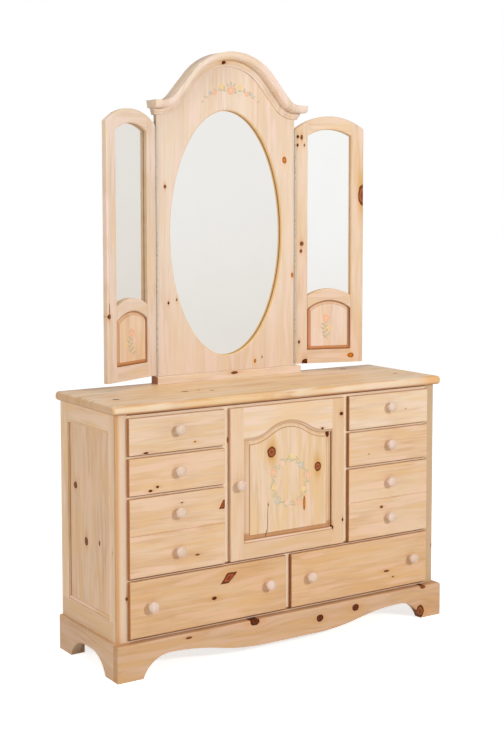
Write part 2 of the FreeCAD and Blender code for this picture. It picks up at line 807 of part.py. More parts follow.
def make_crown():
    cap_y = mirror_y - cap_projection
    depth = cap_projection + mirror_board
    cap = crown_band(cap_tip, 0, cap_height, cap_y, depth)
    arch = crown_arch()
    cap = bevelled(cap, cap_bevel, bonnet(arch, cap_tip, cap_height, cap_y))
    save("crown_cap", cap)
    bed_half = mirror_half + bed_projection
    bed_y = mirror_y - bed_projection
    lower = cap_height + bed_height
    bed = crown_band(bed_half, cap_height, lower, bed_y, bed_projection + mirror_board)
    bed = bevelled(bed, bed_bevel, bonnet(arch, bed_half, lower, bed_y))
    save("crown_bed", bed.cut(extrude(board_outline(mirror_half, 0, strip_top, mirror_y), mirror_board)))


def make_mirror_base():
    strip_half = mirror_half + strip_side
    strip = box((-strip_half, strip_half), (mirror_y - strip_projection, mirror_y + mirror_board),
                (cabinet_height, strip_top))
    strip = fillet_where(strip, strip_edge_round, lambda e, m: m.z > strip_top - 0.5 and m.y < mirror_y)
    save("mirror_base", strip)
    middle_x = mirror_half - support_inset
    x_span = (middle_x - support_width / 2, middle_x + support_width / 2)
    right = box(x_span, (back_y, back_y + support_thickness),
                (cabinet_height - support_drop, cabinet_height + support_rise))
    save("mirror_supports", right, mirrored(right))


# ---- Mirror: wings, built flat with the hinge pin on the origin and the face at pin_lead ----
wing_left = pin_side
wing_right = pin_side + wing_width
wing_low = strip_top + wing_lift
wing_side_top = crown_tip_z - cap_height - wing_head_gap
wing_glass_x = (wing_left + wing_stile, wing_right - wing_stile)
wing_panel_low = wing_low + wing_bottom_rail
wing_panel_spring = wing_panel_low + wing_panel_side
wing_sill_crest = wing_panel_spring + wing_panel_rise + wing_mid_rail
wing_glass_middle = (wing_sill_crest + wing_side_top) / 2


def wing_outline(inset, y):
    """Outer edge of a wing: upright sides under one arc."""
    left, right, low = wing_left + inset, wing_right - inset, wing_low + inset
    radius = rise_radius(wing_width / 2, wing_arch_rise) - inset
    crest = wing_side_top + wing_arch_rise - inset
    return arched_outline(left, right, low, crest, radius, y)


def arched_outline(left, right, low, crest, radius, y):
    half = (right - left) / 2
    spring = crest - radius + math.sqrt(radius ** 2 - half ** 2)
    return [bow(left, right, spring, crest - spring, y), line((left, spring), (left, low), y),
            line((left, low), (right, low), y), line((right, low), (right, spring), y)]


def wing_glass_outline(y):
    left, right = wing_glass_x
    radius = rise_radius(wing_width / 2, wing_arch_rise) - wing_top_rail
    crest = wing_side_top + wing_arch_rise - wing_top_rail
    sill = wing_sill_crest - wing_sill_rise
    edges = arched_outline(left, right, sill, crest, radius, y)
    edges[2] = bow(left, right, sill, wing_sill_rise, y)
    return edges


def wing_panel_outline(inset, y):
    left, right = wing_glass_x[0] + inset, wing_glass_x[1] - inset
    half = (wing_glass_x[1] - wing_glass_x[0]) / 2
    radius = rise_radius(half, wing_panel_rise) - inset
    crest = wing_panel_spring + wing_panel_rise - inset
    return arched_outline(left, right, wing_panel_low + inset, crest, radius, y)


def build_wing():
    """Frame pieces, glass, panel and backer of a wing."""
    face = pin_lead
    back = face + mirror_board
    slab = extrude(wing_outline(0, face), mirror_board)
    outline = wing_outline(0, face)
    slab = bevelled(slab, wing_edge_bevel, [outline[0], outline[3]])
    slab = slab.cut(extrude(wing_glass_outline(face), mirror_board))
    slab = slab.cut(extrude(wing_panel_outline(0, face), mirror_board))
    slab = bevelled(slab, wing_sticking, wing_glass_outline(face) + wing_panel_outline(0, face))
    plate_x = (wing_glass_x[0] - glass_margin, wing_glass_x[1] + glass_margin)
    plate_z = (wing_sill_crest - wing_sill_rise - glass_margin,
               wing_side_top + wing_arch_rise - wing_top_rail + glass_margin)
    glass = box(plate_x, (back - glass_thickness, back), plate_z)
    panel = raised_panel(wing_panel_outline, 0, wing_field_inset, face)
    slab = slab.cut(glass).cut(panel)
    low, high = wing_low, wing_side_top + wing_arch_rise
    stiles = [slab.common(box(x_span, (face, back), (low, high)))
              for x_span in ((wing_left, wing_glass_x[0]), (wing_glass_x[1], wing_right))]
    mid_rail = (wing_panel_spring, wing_sill_crest)
    rails = [slab.common(box(wing_glass_x, (face, back), z_span))
             for z_span in ((low, wing_panel_low), mid_rail, (wing_glass_middle, high))]
    backer = box((plate_x[0] - wing_backer_lap, plate_x[1] + wing_backer_lap), (back, back + mirror_backer),
                 (wing_panel_low - glass_margin, plate_z[1] + wing_backer_lap))
    return stiles + rails, glass, panel, backer


def place_wing(solid, side):
    """Fold a flat right wing forward, on its own side of the mirror."""
    angle = wing_left_angle if side < 0 else wing_right_angle
    placed = mirrored(solid) if side < 0 else solid.copy()
    placed.rotate(Vector(0, 0, 0), Vector(0, 0, 1), -side * angle)
    placed.translate(Vector(side * (mirror_half + pin_side), mirror_y - pin_lead, 0))
    return placed


def make_wings():
    frame, glass, panel, backer = build_wing()
    base = wing_low + piano_end_gap
    height = wing_side_top - piano_end_gap - base
    wing_plate = box((pin_side - leaf_thickness, pin_side), (0, leaf_width), (0, height))
    board_plate = box((-pin_side, leaf_thickness - pin_side), (0, leaf_width), (0, height))
    moving = hinge_leaf([wing_plate], height, piano_knuckles, 1).translated(Vector(0, 0, base))
    fixed = hinge_leaf([board_plate], height, piano_knuckles, 0).translated(Vector(0, 0, base))
    fixed_solids = []
    for side, name in ((-1, "left"), (1, "right")):
        save("wing_" + name + "_frame", *[place_wing(piece, side) for piece in frame])
        save("wing_" + name + "_glass", place_wing(glass, side))
        save("wing_" + name + "_panel", place_wing(panel, side))
        save("wing_" + name + "_backer", place_wing(backer, side))
        save("wing_" + name + "_hinge", place_wing(moving, side))
        place = Vector(side * (mirror_half + pin_side), mirror_y - pin_lead, 0)
        fixed_solids.append((mirrored(fixed) if side < 0 else fixed).translated(place))
    save("mirror_hinges", *fixed_solids)


os.makedirs("parts", exist_ok=True)
make_top()
make_plinth()
make_sides()
make_face_frame()
upper_deck = make_carcass()
make_drawers()
make_runners(upper_deck)
make_door()
make_door_hinges()
make_mirror_board()
make_crown()
make_mirror_base()
make_wings()
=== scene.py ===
"""Looks of the pine dresser with its three-part mirror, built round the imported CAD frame.

Metres, +Z up, front towards -Y. Places on the object are given in millimetres, as on a drawing, and
turned into metres by mm(). Colours are triples of 0-255 values, as on a paint chip.
"""

import math
from collections import namedtuple

import bmesh
import bpy
from mathutils import Matrix, Vector


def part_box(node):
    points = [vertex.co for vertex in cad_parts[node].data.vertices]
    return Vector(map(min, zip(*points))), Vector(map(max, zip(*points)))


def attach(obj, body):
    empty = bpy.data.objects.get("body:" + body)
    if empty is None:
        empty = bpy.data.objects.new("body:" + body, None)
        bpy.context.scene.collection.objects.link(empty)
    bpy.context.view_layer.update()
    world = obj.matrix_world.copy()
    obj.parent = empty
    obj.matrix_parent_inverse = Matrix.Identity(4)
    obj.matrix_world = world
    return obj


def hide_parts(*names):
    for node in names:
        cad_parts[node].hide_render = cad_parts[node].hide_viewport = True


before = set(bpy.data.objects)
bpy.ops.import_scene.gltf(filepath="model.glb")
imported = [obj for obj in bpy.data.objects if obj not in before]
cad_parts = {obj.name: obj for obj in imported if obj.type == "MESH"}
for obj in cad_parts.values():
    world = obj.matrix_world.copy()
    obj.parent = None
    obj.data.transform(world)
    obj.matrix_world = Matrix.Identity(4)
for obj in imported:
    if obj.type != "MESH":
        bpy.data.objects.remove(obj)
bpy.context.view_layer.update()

# Places on the object, in millimetres.
FACE_Y = -201.2  # faces of the drawers and the door
FRAME_Y = -184.8  # face of the face frame
PLINTH_Y = -216.8
CROWN_Y = 144.6  # foremost face of the crown
STRIP_Y = 166.7  # face of the strip under the mirror
MIRROR_Y = 193.2  # face of the mirror board
SUPPORT_Y = 213
SIDE_X = 668.0  # outer face of each side
SIDE_PANEL_Y = (-138.8, 161.2)
TOP_Z = 900.0
STILE_X = 615.5  # inner edge of the face frame's outer stiles
OPENING_X = 625  # outer edge of the drawer openings
COLUMN_X = 261  # inner edge of the drawer openings beside the door
MULLION_X = (228.7, 271.2)
MULLION_Z = (330, 844.7)
DOOR_STILE_X = 186.7  # inner edge of the door's stiles
MOULDED_X = 215  # the door frame's inner moulded edges lie within these
MOULDED_Z = (365, 846)
MIRROR_HALF = 296.6  # half of the mirror board's width
FIELD_SETBACK = 2.0  # a raised panel's field lies this far behind its frame
PIN_X = 298.3
PIN_Y = 189.6
PIN_LEAD = 3.6  # a wing's face lies this far behind its pin
WING_STILES = (51.7, 227.3)  # inner edges of a wing's stiles, outwards from its pin
WING_RAIL_Z = (1140, 1188)  # a wing's middle rail, at its joints with the stiles
WING_GLASS_Z = (1184, 1850)
WING_ANGLE = {-1: 24.4, 1: 16.5}  # degrees that the left and right wings stand forward


def mm(value):
    return value / 1000


# ---- Camera: 504 x 756 picture, fitted to the photograph ----
def make_camera():
    data = bpy.data.cameras.new("camera")
    data.sensor_fit = "AUTO"
    data.sensor_width = 36
    data.lens = 65.152
    data.shift_y = -0.10516
    data.clip_end = 100
    camera = bpy.data.objects.new("camera", data)
    bpy.context.scene.collection.objects.link(camera)
    yaw, pitch, roll = (math.radians(angle) for angle in (33.344, -4.295, -0.038))
    right = Vector((math.cos(yaw), -math.sin(yaw), 0))
    forward = Vector((math.sin(yaw) * math.cos(pitch), math.cos(yaw) * math.cos(pitch), math.sin(pitch)))
    turned = right * math.cos(roll) + right.cross(forward) * math.sin(roll)
    attitude = Matrix((turned, turned.cross(forward), -forward)).transposed().to_4x4()
    camera.matrix_world = Matrix.Translation((-2.6804, -4.0418, 1.5681)) @ attitude
    bpy.context.scene.camera = camera


make_camera()
bpy.context.scene.view_settings.view_transform = "Standard"


# ---- Colours and node graphs ----
def linear(colour):
    """Blender's linear RGBA of a colour."""
    channels = []
    for value in colour:
        value /= 255
        channels.append(value / 12.92 if value <= 0.04045 else ((value + 0.055) / 1.055) ** 2.4)
    return (*channels, 1.0)


def tinted(colour, *factors):
    """Linear RGBA of a colour with each channel scaled, kept below white."""
    return (*(min(0.98, channel * factor) for channel, factor in zip(linear(colour), factors)), 1.0)


class Value:
    """Output of a node. Arithmetic on it adds the nodes that it needs, and a comparison gives 1 or 0."""

    def __init__(self, graph, socket):
        self.graph = graph
        self.socket = socket

    def __add__(self, other):
        return self.graph.math("ADD", self, other)

    def __mul__(self, other):
        return self.graph.math("MULTIPLY", self, other)

    def __sub__(self, other):
        return self.graph.math("SUBTRACT", self, other)

    def __rsub__(self, other):
        return self.graph.math("SUBTRACT", other, self)

    def __truediv__(self, other):
        return self.graph.math("DIVIDE", self, other)

    def __gt__(self, other):
        return self.graph.math("GREATER_THAN", self, other)

    def __lt__(self, other):
        return self.graph.math("LESS_THAN", self, other)

    def __abs__(self):
        return self.graph.math("ABSOLUTE", self)

    __rmul__ = __mul__

    def span(self, start, end, low=0.0, high=1.0, kind="SMOOTHSTEP"):
        """This value carried from start..end to low..high, and held there beyond it."""
        return self.graph.value("ShaderNodeMapRange", enumerate((self, start, end, low, high)),
                                interpolation_type=kind, clamp=True)

    def rise(self, start, end, amount=1.0):
        """0 before start and amount past end, both in millimetres."""
        return self.span(mm(start), mm(end), 0.0, amount)

    def between(self, low, high):
        """1 between two places in millimetres."""
        return (self > mm(low)) * (self < mm(high))

    def line(self, low, high, soft):
        """1 between low and high, fading out over soft; all three in millimetres."""
        return self.rise(low - soft, low) * self.rise(high + soft, high)


class Graph:
    """Makes nodes. What goes into them is a number, a tuple or a Value."""

    def __init__(self, tree):
        self.tree = tree

    def feed(self, socket, value):
        if isinstance(value, Value):
            self.tree.links.new(value.socket, socket)
        else:
            socket.default_value = value

    def node(self, kind, inputs=(), **settings):
        """New node, with its inputs filled from pairs of a key and a value."""
        made = self.tree.nodes.new(kind)
        for key, setting in settings.items():
            setattr(made, key, setting)
        for key, value in inputs:
            self.feed(made.inputs[key], value)
        return made

    def value(self, kind, inputs=(), output=0, **settings):
        return Value(self, self.node(kind, inputs, **settings).outputs[output])

    def math(self, operation, *values, clamp=False):
        return self.value("ShaderNodeMath", enumerate(values), operation=operation, use_clamp=clamp)

    def most(self, first, second):
        return self.math("MAXIMUM", first, second)

    def length(self, u, v):
        return self.math("SQRT", u * u + v * v)

    def bell(self, u, v):
        """Bell-shaped hill round the point where u and v are 0."""
        return self.math("EXPONENT", (u * u + v * v) * -1.0)

    def vector(self, x, y, z):
        return self.value("ShaderNodeCombineXYZ", enumerate((x, y, z)))

    def split(self, vector):
        return [Value(self, output) for output in self.node("ShaderNodeSeparateXYZ", [(0, vector)]).outputs]

    def place(self):
        return self.value("ShaderNodeTexCoord", output="Object")

    def xyz(self):
        return self.split(self.place())

    def noise(self, vector, scale, detail=2.0, roughness=0.5):
        inputs = {"Vector": vector, "Scale": scale, "Detail": detail, "Roughness": roughness}
        return self.value("ShaderNodeTexNoise", inputs.items(), "Fac")

    def random(self, value):
        return self.value("ShaderNodeTexWhiteNoise", [("W", value)], "Value", noise_dimensions="1D")

    def mix(self, factor, first, second):
        """Blend of two colours: each a triple, linear RGBA or a Value."""
        inputs = [(0, factor)]
        for key, colour in ((6, first), (7, second)):
            is_triple = isinstance(colour, tuple) and len(colour) == 3
            inputs.append((key, linear(colour) if is_triple else colour))
        return self.value("ShaderNodeMix", inputs, 2, data_type="RGBA")

    def ray(self, kind):
        """1 for rays of one kind."""
        return self.value("ShaderNodeLightPath", output=kind)

    def glow(self, kind, colour, strength):
        """Shader that gives off light."""
        return self.value(kind, (("Color", colour), ("Strength", strength)))

    def choose(self, factor, first, second):
        """The first shader where factor is 0, and the second where it is 1."""
        return self.value("ShaderNodeMixShader", enumerate((factor, first, second)))


class Surface(Graph):
    """Nodes of a new material, with its shader."""

    def __init__(self, name):
        self.material = bpy.data.materials.new(name)
        self.material.use_nodes = True
        super().__init__(self.material.node_tree)
        self.shader = self.tree.nodes["Principled BSDF"]

    def set(self, **values):
        for key, value in values.items():
            self.feed(self.shader.inputs[key.replace("_", " ")], value)

    def bump(self, height, strength, distance):
        inputs = {"Strength": strength, "Distance": distance, "Height": height}
        self.set(Normal=self.value("ShaderNodeBump", inputs.items()))


# ---- Knotty pine ----
Heart = namedtuple("Heart", "core ring rim halo glow")
HEARTS = {
    "dark": Heart((110, 54, 26), (78, 30, 8), (66, 24, 4), (208, 146, 84), 0.6),
    "red": Heart((152, 90, 52), (112, 54, 20), (80, 32, 8), (214, 152, 92), 0.6),
    "amber": Heart((196, 112, 34), (214, 136, 50), (150, 80, 24), (234, 180, 104), 0.55),
    "eye": Heart((172, 102, 66), (124, 58, 20), (102, 44, 8), (214, 160, 84), 1.0),
    "spike": Heart((170, 88, 54), (122, 54, 22), (92, 38, 8), (214, 160, 108), 0.35),
}
RING_DENSITY = 118.0  # year rings to the metre
PITH_SLOPE = 0.05  # slope of the pith along a board


def knot_fields(graph, knots, along, across, wobble):
    """Of each knot: distance in its own radii, pull on the grain, halo, place across from it, and heart."""
    fields = []
    for length_at, width_at, half_length, half_width, kind in knots:
        offset = across - mm(width_at)
        u = (along - mm(length_at)) / mm(half_length)
        v = offset / mm(half_width)
        if kind == "spike":
            reach = graph.most(graph.most(abs(u - v * 0.7), abs(v)), (u - v) * 1.1)
        else:
            reach = graph.length(u, v)
        reach += (wobble - 0.5) * 0.4
        pull = graph.bell(u / 3.4, v / 2.3)
        halo = graph.bell(u / 2.6, v / 1.25)
        fields.append((reach, pull, halo, offset, HEARTS[kind]))
    return fields


def pine(name, light, dark, coordinates, seed=0, boards=None, knots=(), pith=0.09, ring=0.3, edge=None,
         warm=0.35, rough=0.5, stains_and_painted_shading=None, wash=0.3, streak=1.0, ends=None, gloss=0.02):
    """Whitewashed pine.

    coordinates(graph) gives (along, across, into) in metres, with into = 0 on the face.
    boards is the width of the glued boards, in metres.
    A knot is (along, across, half length, half width, kind), in millimetres.
    pith is the depth of the pith behind the face, in metres, and ring the strength of the year rings.
    edge is (start, end, amount): how deep behind the face, in mm, the wash thins out to bare wood; on the
    sides of the drawer fronts and the door, in the gaps, this darker wood is painted shade as well.
    The tints laid over the wood, a function of (graph, along, across, into), give a list of (amount, colour)
    used in turn: stains and tones, and on many pieces painted light and shade.
    ends is (colour, amount) on faces that look along X: the end grain, which on the drawer fronts is deepened
    as painted shade and on the crown's returns lightened as painted light.
    """
    graph = Surface(name)
    along, across, into = coordinates(graph)
    flow_along = along
    board_shift = 0.0
    if boards:
        board = graph.math("FLOOR", (across + 7.0) / boards)
        tone = graph.random(board + seed * 3.7)
        flow_along = along + tone * 9.0
        board_shift = (tone - 0.5) * (boards * 0.8)
    wobble = graph.noise(graph.vector(along, across, into), 55.0, 1.0)
    fields = knot_fields(graph, knots, along, across, wobble)
    flowing = across
    for _, pull, _, offset, _ in fields:
        flowing -= offset * pull * 0.8

    def drawn_out(share, sideways, third, scale, *detail):
        """Noise stretched along the grain, by taking only a share of the way along it."""
        return graph.noise(graph.vector(flow_along * share, sideways, third), scale, *detail)

    drift = drawn_out(0.9, flowing * 5.0, seed * 1.7, 1.0, 2.0)
    out = flowing + board_shift + (drift - 0.5) * 0.09 + (seed * 0.618 % 1 - 0.5) * 0.05
    deep = into + pith + graph.math("PINGPONG", flow_along + seed * 0.37, 1.3) * PITH_SLOPE
    radius = graph.length(out, deep)
    growth = graph.noise(graph.vector(radius, seed * 2.3, 0.0), 34.0, 1.0)
    phase = radius * RING_DENSITY + growth * 2.6
    rings = graph.math("FRACT", phase)
    ring_depth = graph.random(graph.math("FLOOR", phase)).span(0.1, 0.95, 0.25, 1.0)
    late = rings.span(0.2, 0.84) * rings.span(1.0, 0.92) * ring_depth
    fibre = drawn_out(0.022, flowing, into, 380.0, 3.0, 0.6)
    fine = drawn_out(0.07, flowing, seed * 0.31, 95.0, 3.0, 0.6)
    band = drawn_out(0.16, flowing, seed * 0.57 + 3.0, 17.0, 1.0)
    cloud = drawn_out(0.5, across, seed * 0.77, 6.5, 2.0)
    blush = drawn_out(0.12, flowing, seed * 1.31 + 5.0, 40.0, 1.0)

    figure = late * ring * cloud.span(0.25, 0.75, 0.4, 1.0) + 0.2
    for streaks, strength in ((fibre, 0.45), (fine, 1.2 * streak), (band, 1.1 * streak)):
        figure += (streaks - 0.5) * strength
    colour = graph.mix(graph.math("ADD", figure, 0.0, clamp=True), light, dark)
    yellow = tinted(light, 0.99, 0.88, 0.68)
    pink = tinted(light, 1.03, 0.985, 1.04)
    pale = tinted(light, 1.06, 1.1, 1.14)
    colour = graph.mix(cloud.span(0.4, 0.72) * warm, colour, yellow)
    colour = graph.mix(blush.span(0.48, 0.34, 0.0, min(0.85, warm * 1.4)), colour, yellow)
    colour = graph.mix(blush.span(0.52, 0.66, 0.0, 0.85), colour, pink)
    colour = graph.mix(fibre.span(0.42, 0.66) * cloud.span(0.6, 0.35) * wash, colour, pale)
    if boards:
        colour = graph.mix(tone * 0.22, colour, yellow)
    if edge:
        colour = graph.mix(into.rise(*edge), colour, tinted(dark, 0.9, 0.76, 0.56))
    if stains_and_painted_shading:
        grain = fibre.span(0.25, 0.7, 0.78, 1.0)
        for amount, tint in stains_and_painted_shading(graph, along, across, into):
            colour = graph.mix(amount * grain, colour, tint)
    # End faces: end grain, with painted shade in it on the drawer fronts and painted light on the crown.
    if ends:
        tint, amount = ends
        normal_x = graph.split(graph.value("ShaderNodeTexCoord", output="Normal"))[0]
        end_grain_and_painted_shading = graph.mix(fibre, tint, tinted(tint, 0.72, 0.66, 0.6))
        colour = graph.mix(abs(normal_x).span(0.55, 0.85, 0.0, amount), colour, end_grain_and_painted_shading)
    height = late * -0.35 + fibre * -0.5
    for reach, _, halo, _, heart in fields:
        colour = graph.mix(halo * heart.glow, colour, heart.halo)
        spiral = graph.math("PINGPONG", reach * 2.3 + fibre * 1.3, 1.0)
        wood = graph.mix(spiral, heart.core, heart.ring)
        wood = graph.mix(reach.span(0.6, 0.86, 0.0, 0.9), wood, heart.rim)
        inside = reach.span(1.12, 0.98)
        colour = graph.mix(inside, colour, wood)
        height += inside * 0.8
    graph.set(Base_Color=colour, Roughness=fibre.span(0.3, 0.8, rough - 0.05, rough + 0.1),
              Specular_IOR_Level=0.12, Coat_Weight=gloss, Coat_Roughness=0.3)
    graph.bump(height, 0.25, 0.0004)
    return graph.material


# ---- Where the grain runs ----
def laid(rail, width, height, apart):
    """Along and across the grain, with level boards where rail is 1 and upright ones where it is 0.

    The level boards have their grain from a place that many metres apart.
    """
    stile = 1.0 - rail
    return rail * (width + apart) + stile * height, rail * height + stile * width


def upright(face_y):
    """Grain upright, on a face that looks towards -Y."""
    def coordinates(graph):
        x, y, z = graph.xyz()
        return z, x, y - mm(face_y)
    return coordinates


def level(face_y):
    """Grain along X, on a face that looks towards -Y."""
    def coordinates(graph):
        x, y, z = graph.xyz()
        return x, z, y - mm(face_y)
    return coordinates


def framed(face_y, is_rail):
    """Frame seen from -Y: upright stiles, and level rails where is_rail(x, z) is 1."""
    def coordinates(graph):
        x, y, z = graph.xyz()
        return *laid(is_rail(x, z), x, z, 4.0), y - mm(face_y)
    return coordinates


def on_side(is_rail):
    """Board of a side wall, with its face looking out along X, and level where is_rail(y) is 1."""
    def coordinates(graph):
        x, y, z = graph.xyz()
        along, across = laid(is_rail(y), y, z, 9.0)
        return graph.math("SIGN", x) * 3.0 + along, across, mm(SIDE_X) - abs(x)
    return coordinates


def on_top(graph):
    x, y, z = graph.xyz()
    return x, y, mm(TOP_Z) - z


def wing_place(graph, side):
    """A wing's own coordinates: outwards from its pin, up, and into the wood from its face."""
    pin = (side * mm(PIN_X), mm(PIN_Y), 0)
    centred = graph.value("ShaderNodeVectorMath", enumerate((graph.place(), pin)), operation="SUBTRACT")
    inputs = {"Vector": centred, "Angle": side * math.radians(WING_ANGLE[side])}
    x, y, z = graph.split(graph.value("ShaderNodeVectorRotate", inputs.items(), rotation_type="Z_AXIS"))
    return x * float(side), z, y - mm(PIN_LEAD)


def wing_framed(side):
    def coordinates(graph):
        out, up, into = wing_place(graph, side)
        return *laid(out.between(*WING_STILES), out, up, 2.0), into
    return coordinates


def wing_upright(side):
    def coordinates(graph):
        out, up, into = wing_place(graph, side)
        return up, out, into
    return coordinates


# ---- The CAD nodes' materials ----
def dress(material, *nodes):
    for node in nodes:
        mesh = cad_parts[node].data
        if not mesh.materials:
            mesh.materials.append(material)
        for index in range(len(mesh.materials)):
            mesh.materials[index] = material


# Light and dark wood.
FRONT = ((231, 200, 166), (203, 152, 104))
SHADED = ((233, 201, 168), (206, 162, 121))
PALE = ((229, 203, 174), (206, 166, 128))
CHALKY = ((236, 216, 195), (212, 178, 148))
HONEY = ((236, 212, 180), (208, 150, 92))
RAW = ((224, 196, 156), (204, 164, 112))
FRONT_TONES = {"right_top": ((236, 212, 184), (206, 160, 116)),
               "left_top": ((230, 203, 172), (203, 156, 110)),
               "bottom_left": ((224, 188, 148), (194, 140, 88)),
               "bottom_right": ((226, 190, 150), (196, 142, 92))}
FRONT_KNOTS = {
    "left_top": [(-379, 758, 5, 3, "amber"), (-564, 739, 9, 3, "dark")],
    "left_second": [(-522, 623, 5, 4, "dark"), (-548, 613, 7, 4, "dark")],
    "left_deep": [(-430, 560, 4, 2, "dark"), (-266, 534, 12, 14, "spike"), (-371, 377, 8, 3, "red")],
    "right_top": [(520, 790, 3, 2, "amber")],
    "right_second": [(350, 640, 4, 2, "amber")],
    "right_deep": [(410, 439, 6, 5, "red"), (322, 600, 3, 2, "amber")],
    "bottom_left": [(-247, 279, 19, 17, "spike"), (-305, 218, 9, 6, "dark")],
    "bottom_right": [(435, 198, 12, 4, "red"), (466, 172, 4, 3, "dark")],
}


def dress_fronts():
    for index, (name, knots) in enumerate(FRONT_KNOTS.items()):
        tones = FRONT_TONES.get(name, FRONT)
        # Each front's darker sides and ends: worn wash and end grain, deepened as painted shade in the gaps
        # round it.
        material = pine("pine_front_" + name, *tones, level(FACE_Y), seed=index * 1.9 + 2, knots=knots,
                        edge=(4.0, 6.0, 0.6), pith=0.07 + 0.02 * (index % 3), ring=0.2,
                        ends=((178, 116, 66), 0.9))
        dress(material, "drawer_" + name + "_front")


def dress_top():
    def tints_and_painted_shading(graph, along, across, into):
        """Orange heartwood along the front edge, a pale nose as a painted highlight, and painted shade in a
        brown line under the nose and along the back edge.
        """
        patches = graph.noise(graph.vector(along * 0.5, across * 9.0, 4.0), 9.0)
        flames = graph.noise(graph.vector(along * 0.35, across * 13.0, 7.0), 3.0)
        streak = across.line(-203, -186, 7) * patches.span(0.42, 0.6)
        # A pale band on the nose: painted highlight.
        nose = across.rise(-206, -211) * into.rise(21, 14)
        right_end = along.rise(560, 640) * across.rise(-170, -200)
        # Painted shade along the back edge, at the foot of the mirror, and on the underside below the nose.
        return [(flames.span(0.5, 0.64, 0.0, 0.3), (222, 172, 122)), (streak * 0.7, (216, 154, 86)),
                (nose * 0.6, (243, 222, 190)), (right_end * 0.75, (228, 168, 92)),
                (across.rise(176, 206) * 0.5, (192, 146, 108)), (into.rise(22, 27) * 0.7, (186, 126, 74))]

    knots = [(-601, -67, 11, 9, "dark"), (501, 154, 14, 10, "red"), (583, -62, 8, 6, "red"),
             (-318, -34, 12, 8, "red"), (-262, -30, 7, 5, "red"), (-226, -60, 9, 6, "red")]
    dress(pine("pine_top", *HONEY, on_top, seed=21, boards=0.098, ring=0.5, warm=0.9, wash=0.4, streak=3.0,
               rough=0.42, gloss=0.12, stains_and_painted_shading=tints_and_painted_shading, knots=knots, ends=((222, 180, 136), 0.7)), "dresser_top")


def dress_face_frame():
    def is_rail(x, z):
        return (abs(x) < mm(STILE_X)) * (1.0 - abs(x).between(*MULLION_X) * z.between(*MULLION_Z))

    def tints_and_painted_shading(graph, along, across, into):
        """Painted shade under the fronts on a face made paler as painted light, a light left stile, a darker
        right one, and bare wood in the openings, darkened further there as painted shade.
        """
        x, _, z = graph.xyz()
        face = (into < mm(0.5)) * (abs(x) < mm(OPENING_X))
        beside_door = abs(x) > mm(COLUMN_X)
        # Low edge of what is above, height of the painted shade under it, and where that shade lies.
        shades = ((869.0, 5.6, 1.0), (733.5, 4.1, beside_door), (601.7, 4.5, beside_door), (330.6, 7.2, 1.0),
                  (131.5, 8.0, 1.0))
        shade = 0.0
        for low_edge, height, extent in shades:
            shade = graph.most(shade, z.line(low_edge - height, low_edge, 0.8) * extent)
        corner = x.rise(-648, -664) * into.rise(9, 6)
        opening = into.rise(1, 5) * (abs(x) < mm(640))
        # The frame's face is made paler as painted light, and darkened under each front as painted shade.
        return [(face * 0.9, (252, 230, 201)), (face * shade * 0.9, (130, 66, 16)),
                (x.rise(-620, -628, 0.6), (230, 204, 176)), (x.rise(620, 630, 0.9), (206, 174, 136)),
                (corner * 0.95, (208, 152, 94)), (opening * 0.7, (170, 112, 66)),
                (x.rise(661, 666, 0.5), (176, 142, 108))]

    knots = [(747, -242, 9, 3, "amber"), (265, -630, 6, 4, "red"), (258, 664, 7, 4, "dark")]
    dress(pine("pine_face_frame", *PALE, framed(FRAME_Y, is_rail), seed=5, stains_and_painted_shading=tints_and_painted_shading, knots=knots),
          "face_frame")


def dress_door():
    def is_rail(x, z):
        return abs(x) < mm(DOOR_STILE_X)

    def frame_tints_and_painted_shade(graph, along, across, into):
        """Darker stiles and bottom rail, with painted shade in the quirk and at the foot of the moulded edge.
        """
        x, _, z = graph.xyz()
        moulded = (abs(x) < mm(MOULDED_X)) * z.between(*MOULDED_Z)
        stiles = x.rise(186, 187.4, 0.7) + x.rise(-186, -187.4, 0.4)
        bottom = is_rail(x, z) * z.rise(386, 384)
        # Dark lines of painted shade in the quirk and where the frame meets the panel.
        quirk = into.line(0.5, 1.3, 0.2) * moulded
        foot = into.rise(5.0, 6.4) * moulded
        return [(stiles, (222, 182, 136)), (bottom * 0.5, (214, 172, 124)), (quirk * 0.6, (176, 112, 64)),
                (foot * 0.7, (140, 84, 44))]

    knots = [(798, 226, 6, 8, "dark"), (416, 234, 6, 5, "dark"), (4058, 860, 14, 4, "amber"),
             (394, 184, 7, 8, "dark"), (4143, 753, 5, 4, "dark")]
    # The darker wood on the door's sides, in the gaps, is worn wash and painted shade.
    dress(pine("pine_door_frame", (235, 210, 183), (206, 164, 122), framed(FACE_Y, is_rail), seed=8,
               wash=0.6, edge=(7, 9, 0.6), ring=0.2, warm=0.45, stains_and_painted_shading=frame_tints_and_painted_shade, knots=knots), "door_frame")

    def panel_tints_and_painted_shade(graph, along, across, into):
        """Painted shade in the step round the field and at the foot of the bevel away from its left side, a
        light tint on the bevel, and a darker bevel at the bottom.
        """
        bevel = into.rise(3.4, 4.2)
        # Painted shade at the foot of the bevel, left out on the left side.
        low = into.rise(6.6, 8.0) * across.rise(-160, -140)
        return [(bevel * 0.2, (224, 182, 138)), (bevel * along.rise(426, 412) * 0.8, (190, 128, 76)),
                (low * 0.35, (170, 112, 66)), (into.line(2.3, 4.3, 0.3) * 0.6, (160, 108, 68))]

    knots = [(691, -72, 18, 17, "eye"), (619, 124, 16, 13, "eye"), (497, 66, 24, 5, "amber"),
             (509, -86, 5, 2, "dark"), (452, -88, 46, 1.0, "dark"), (408, -94, 14, 1.4, "dark"),
             (731, 168, 12, 8, "dark")]
    dress(pine("pine_door_panel", (232, 206, 176), (204, 160, 110), upright(FACE_Y), seed=11, boards=0.11,
               warm=0.75, wash=0.7, stains_and_painted_shading=panel_tints_and_painted_shade, streak=1.3, ring=0.2, knots=knots), "door_panel")


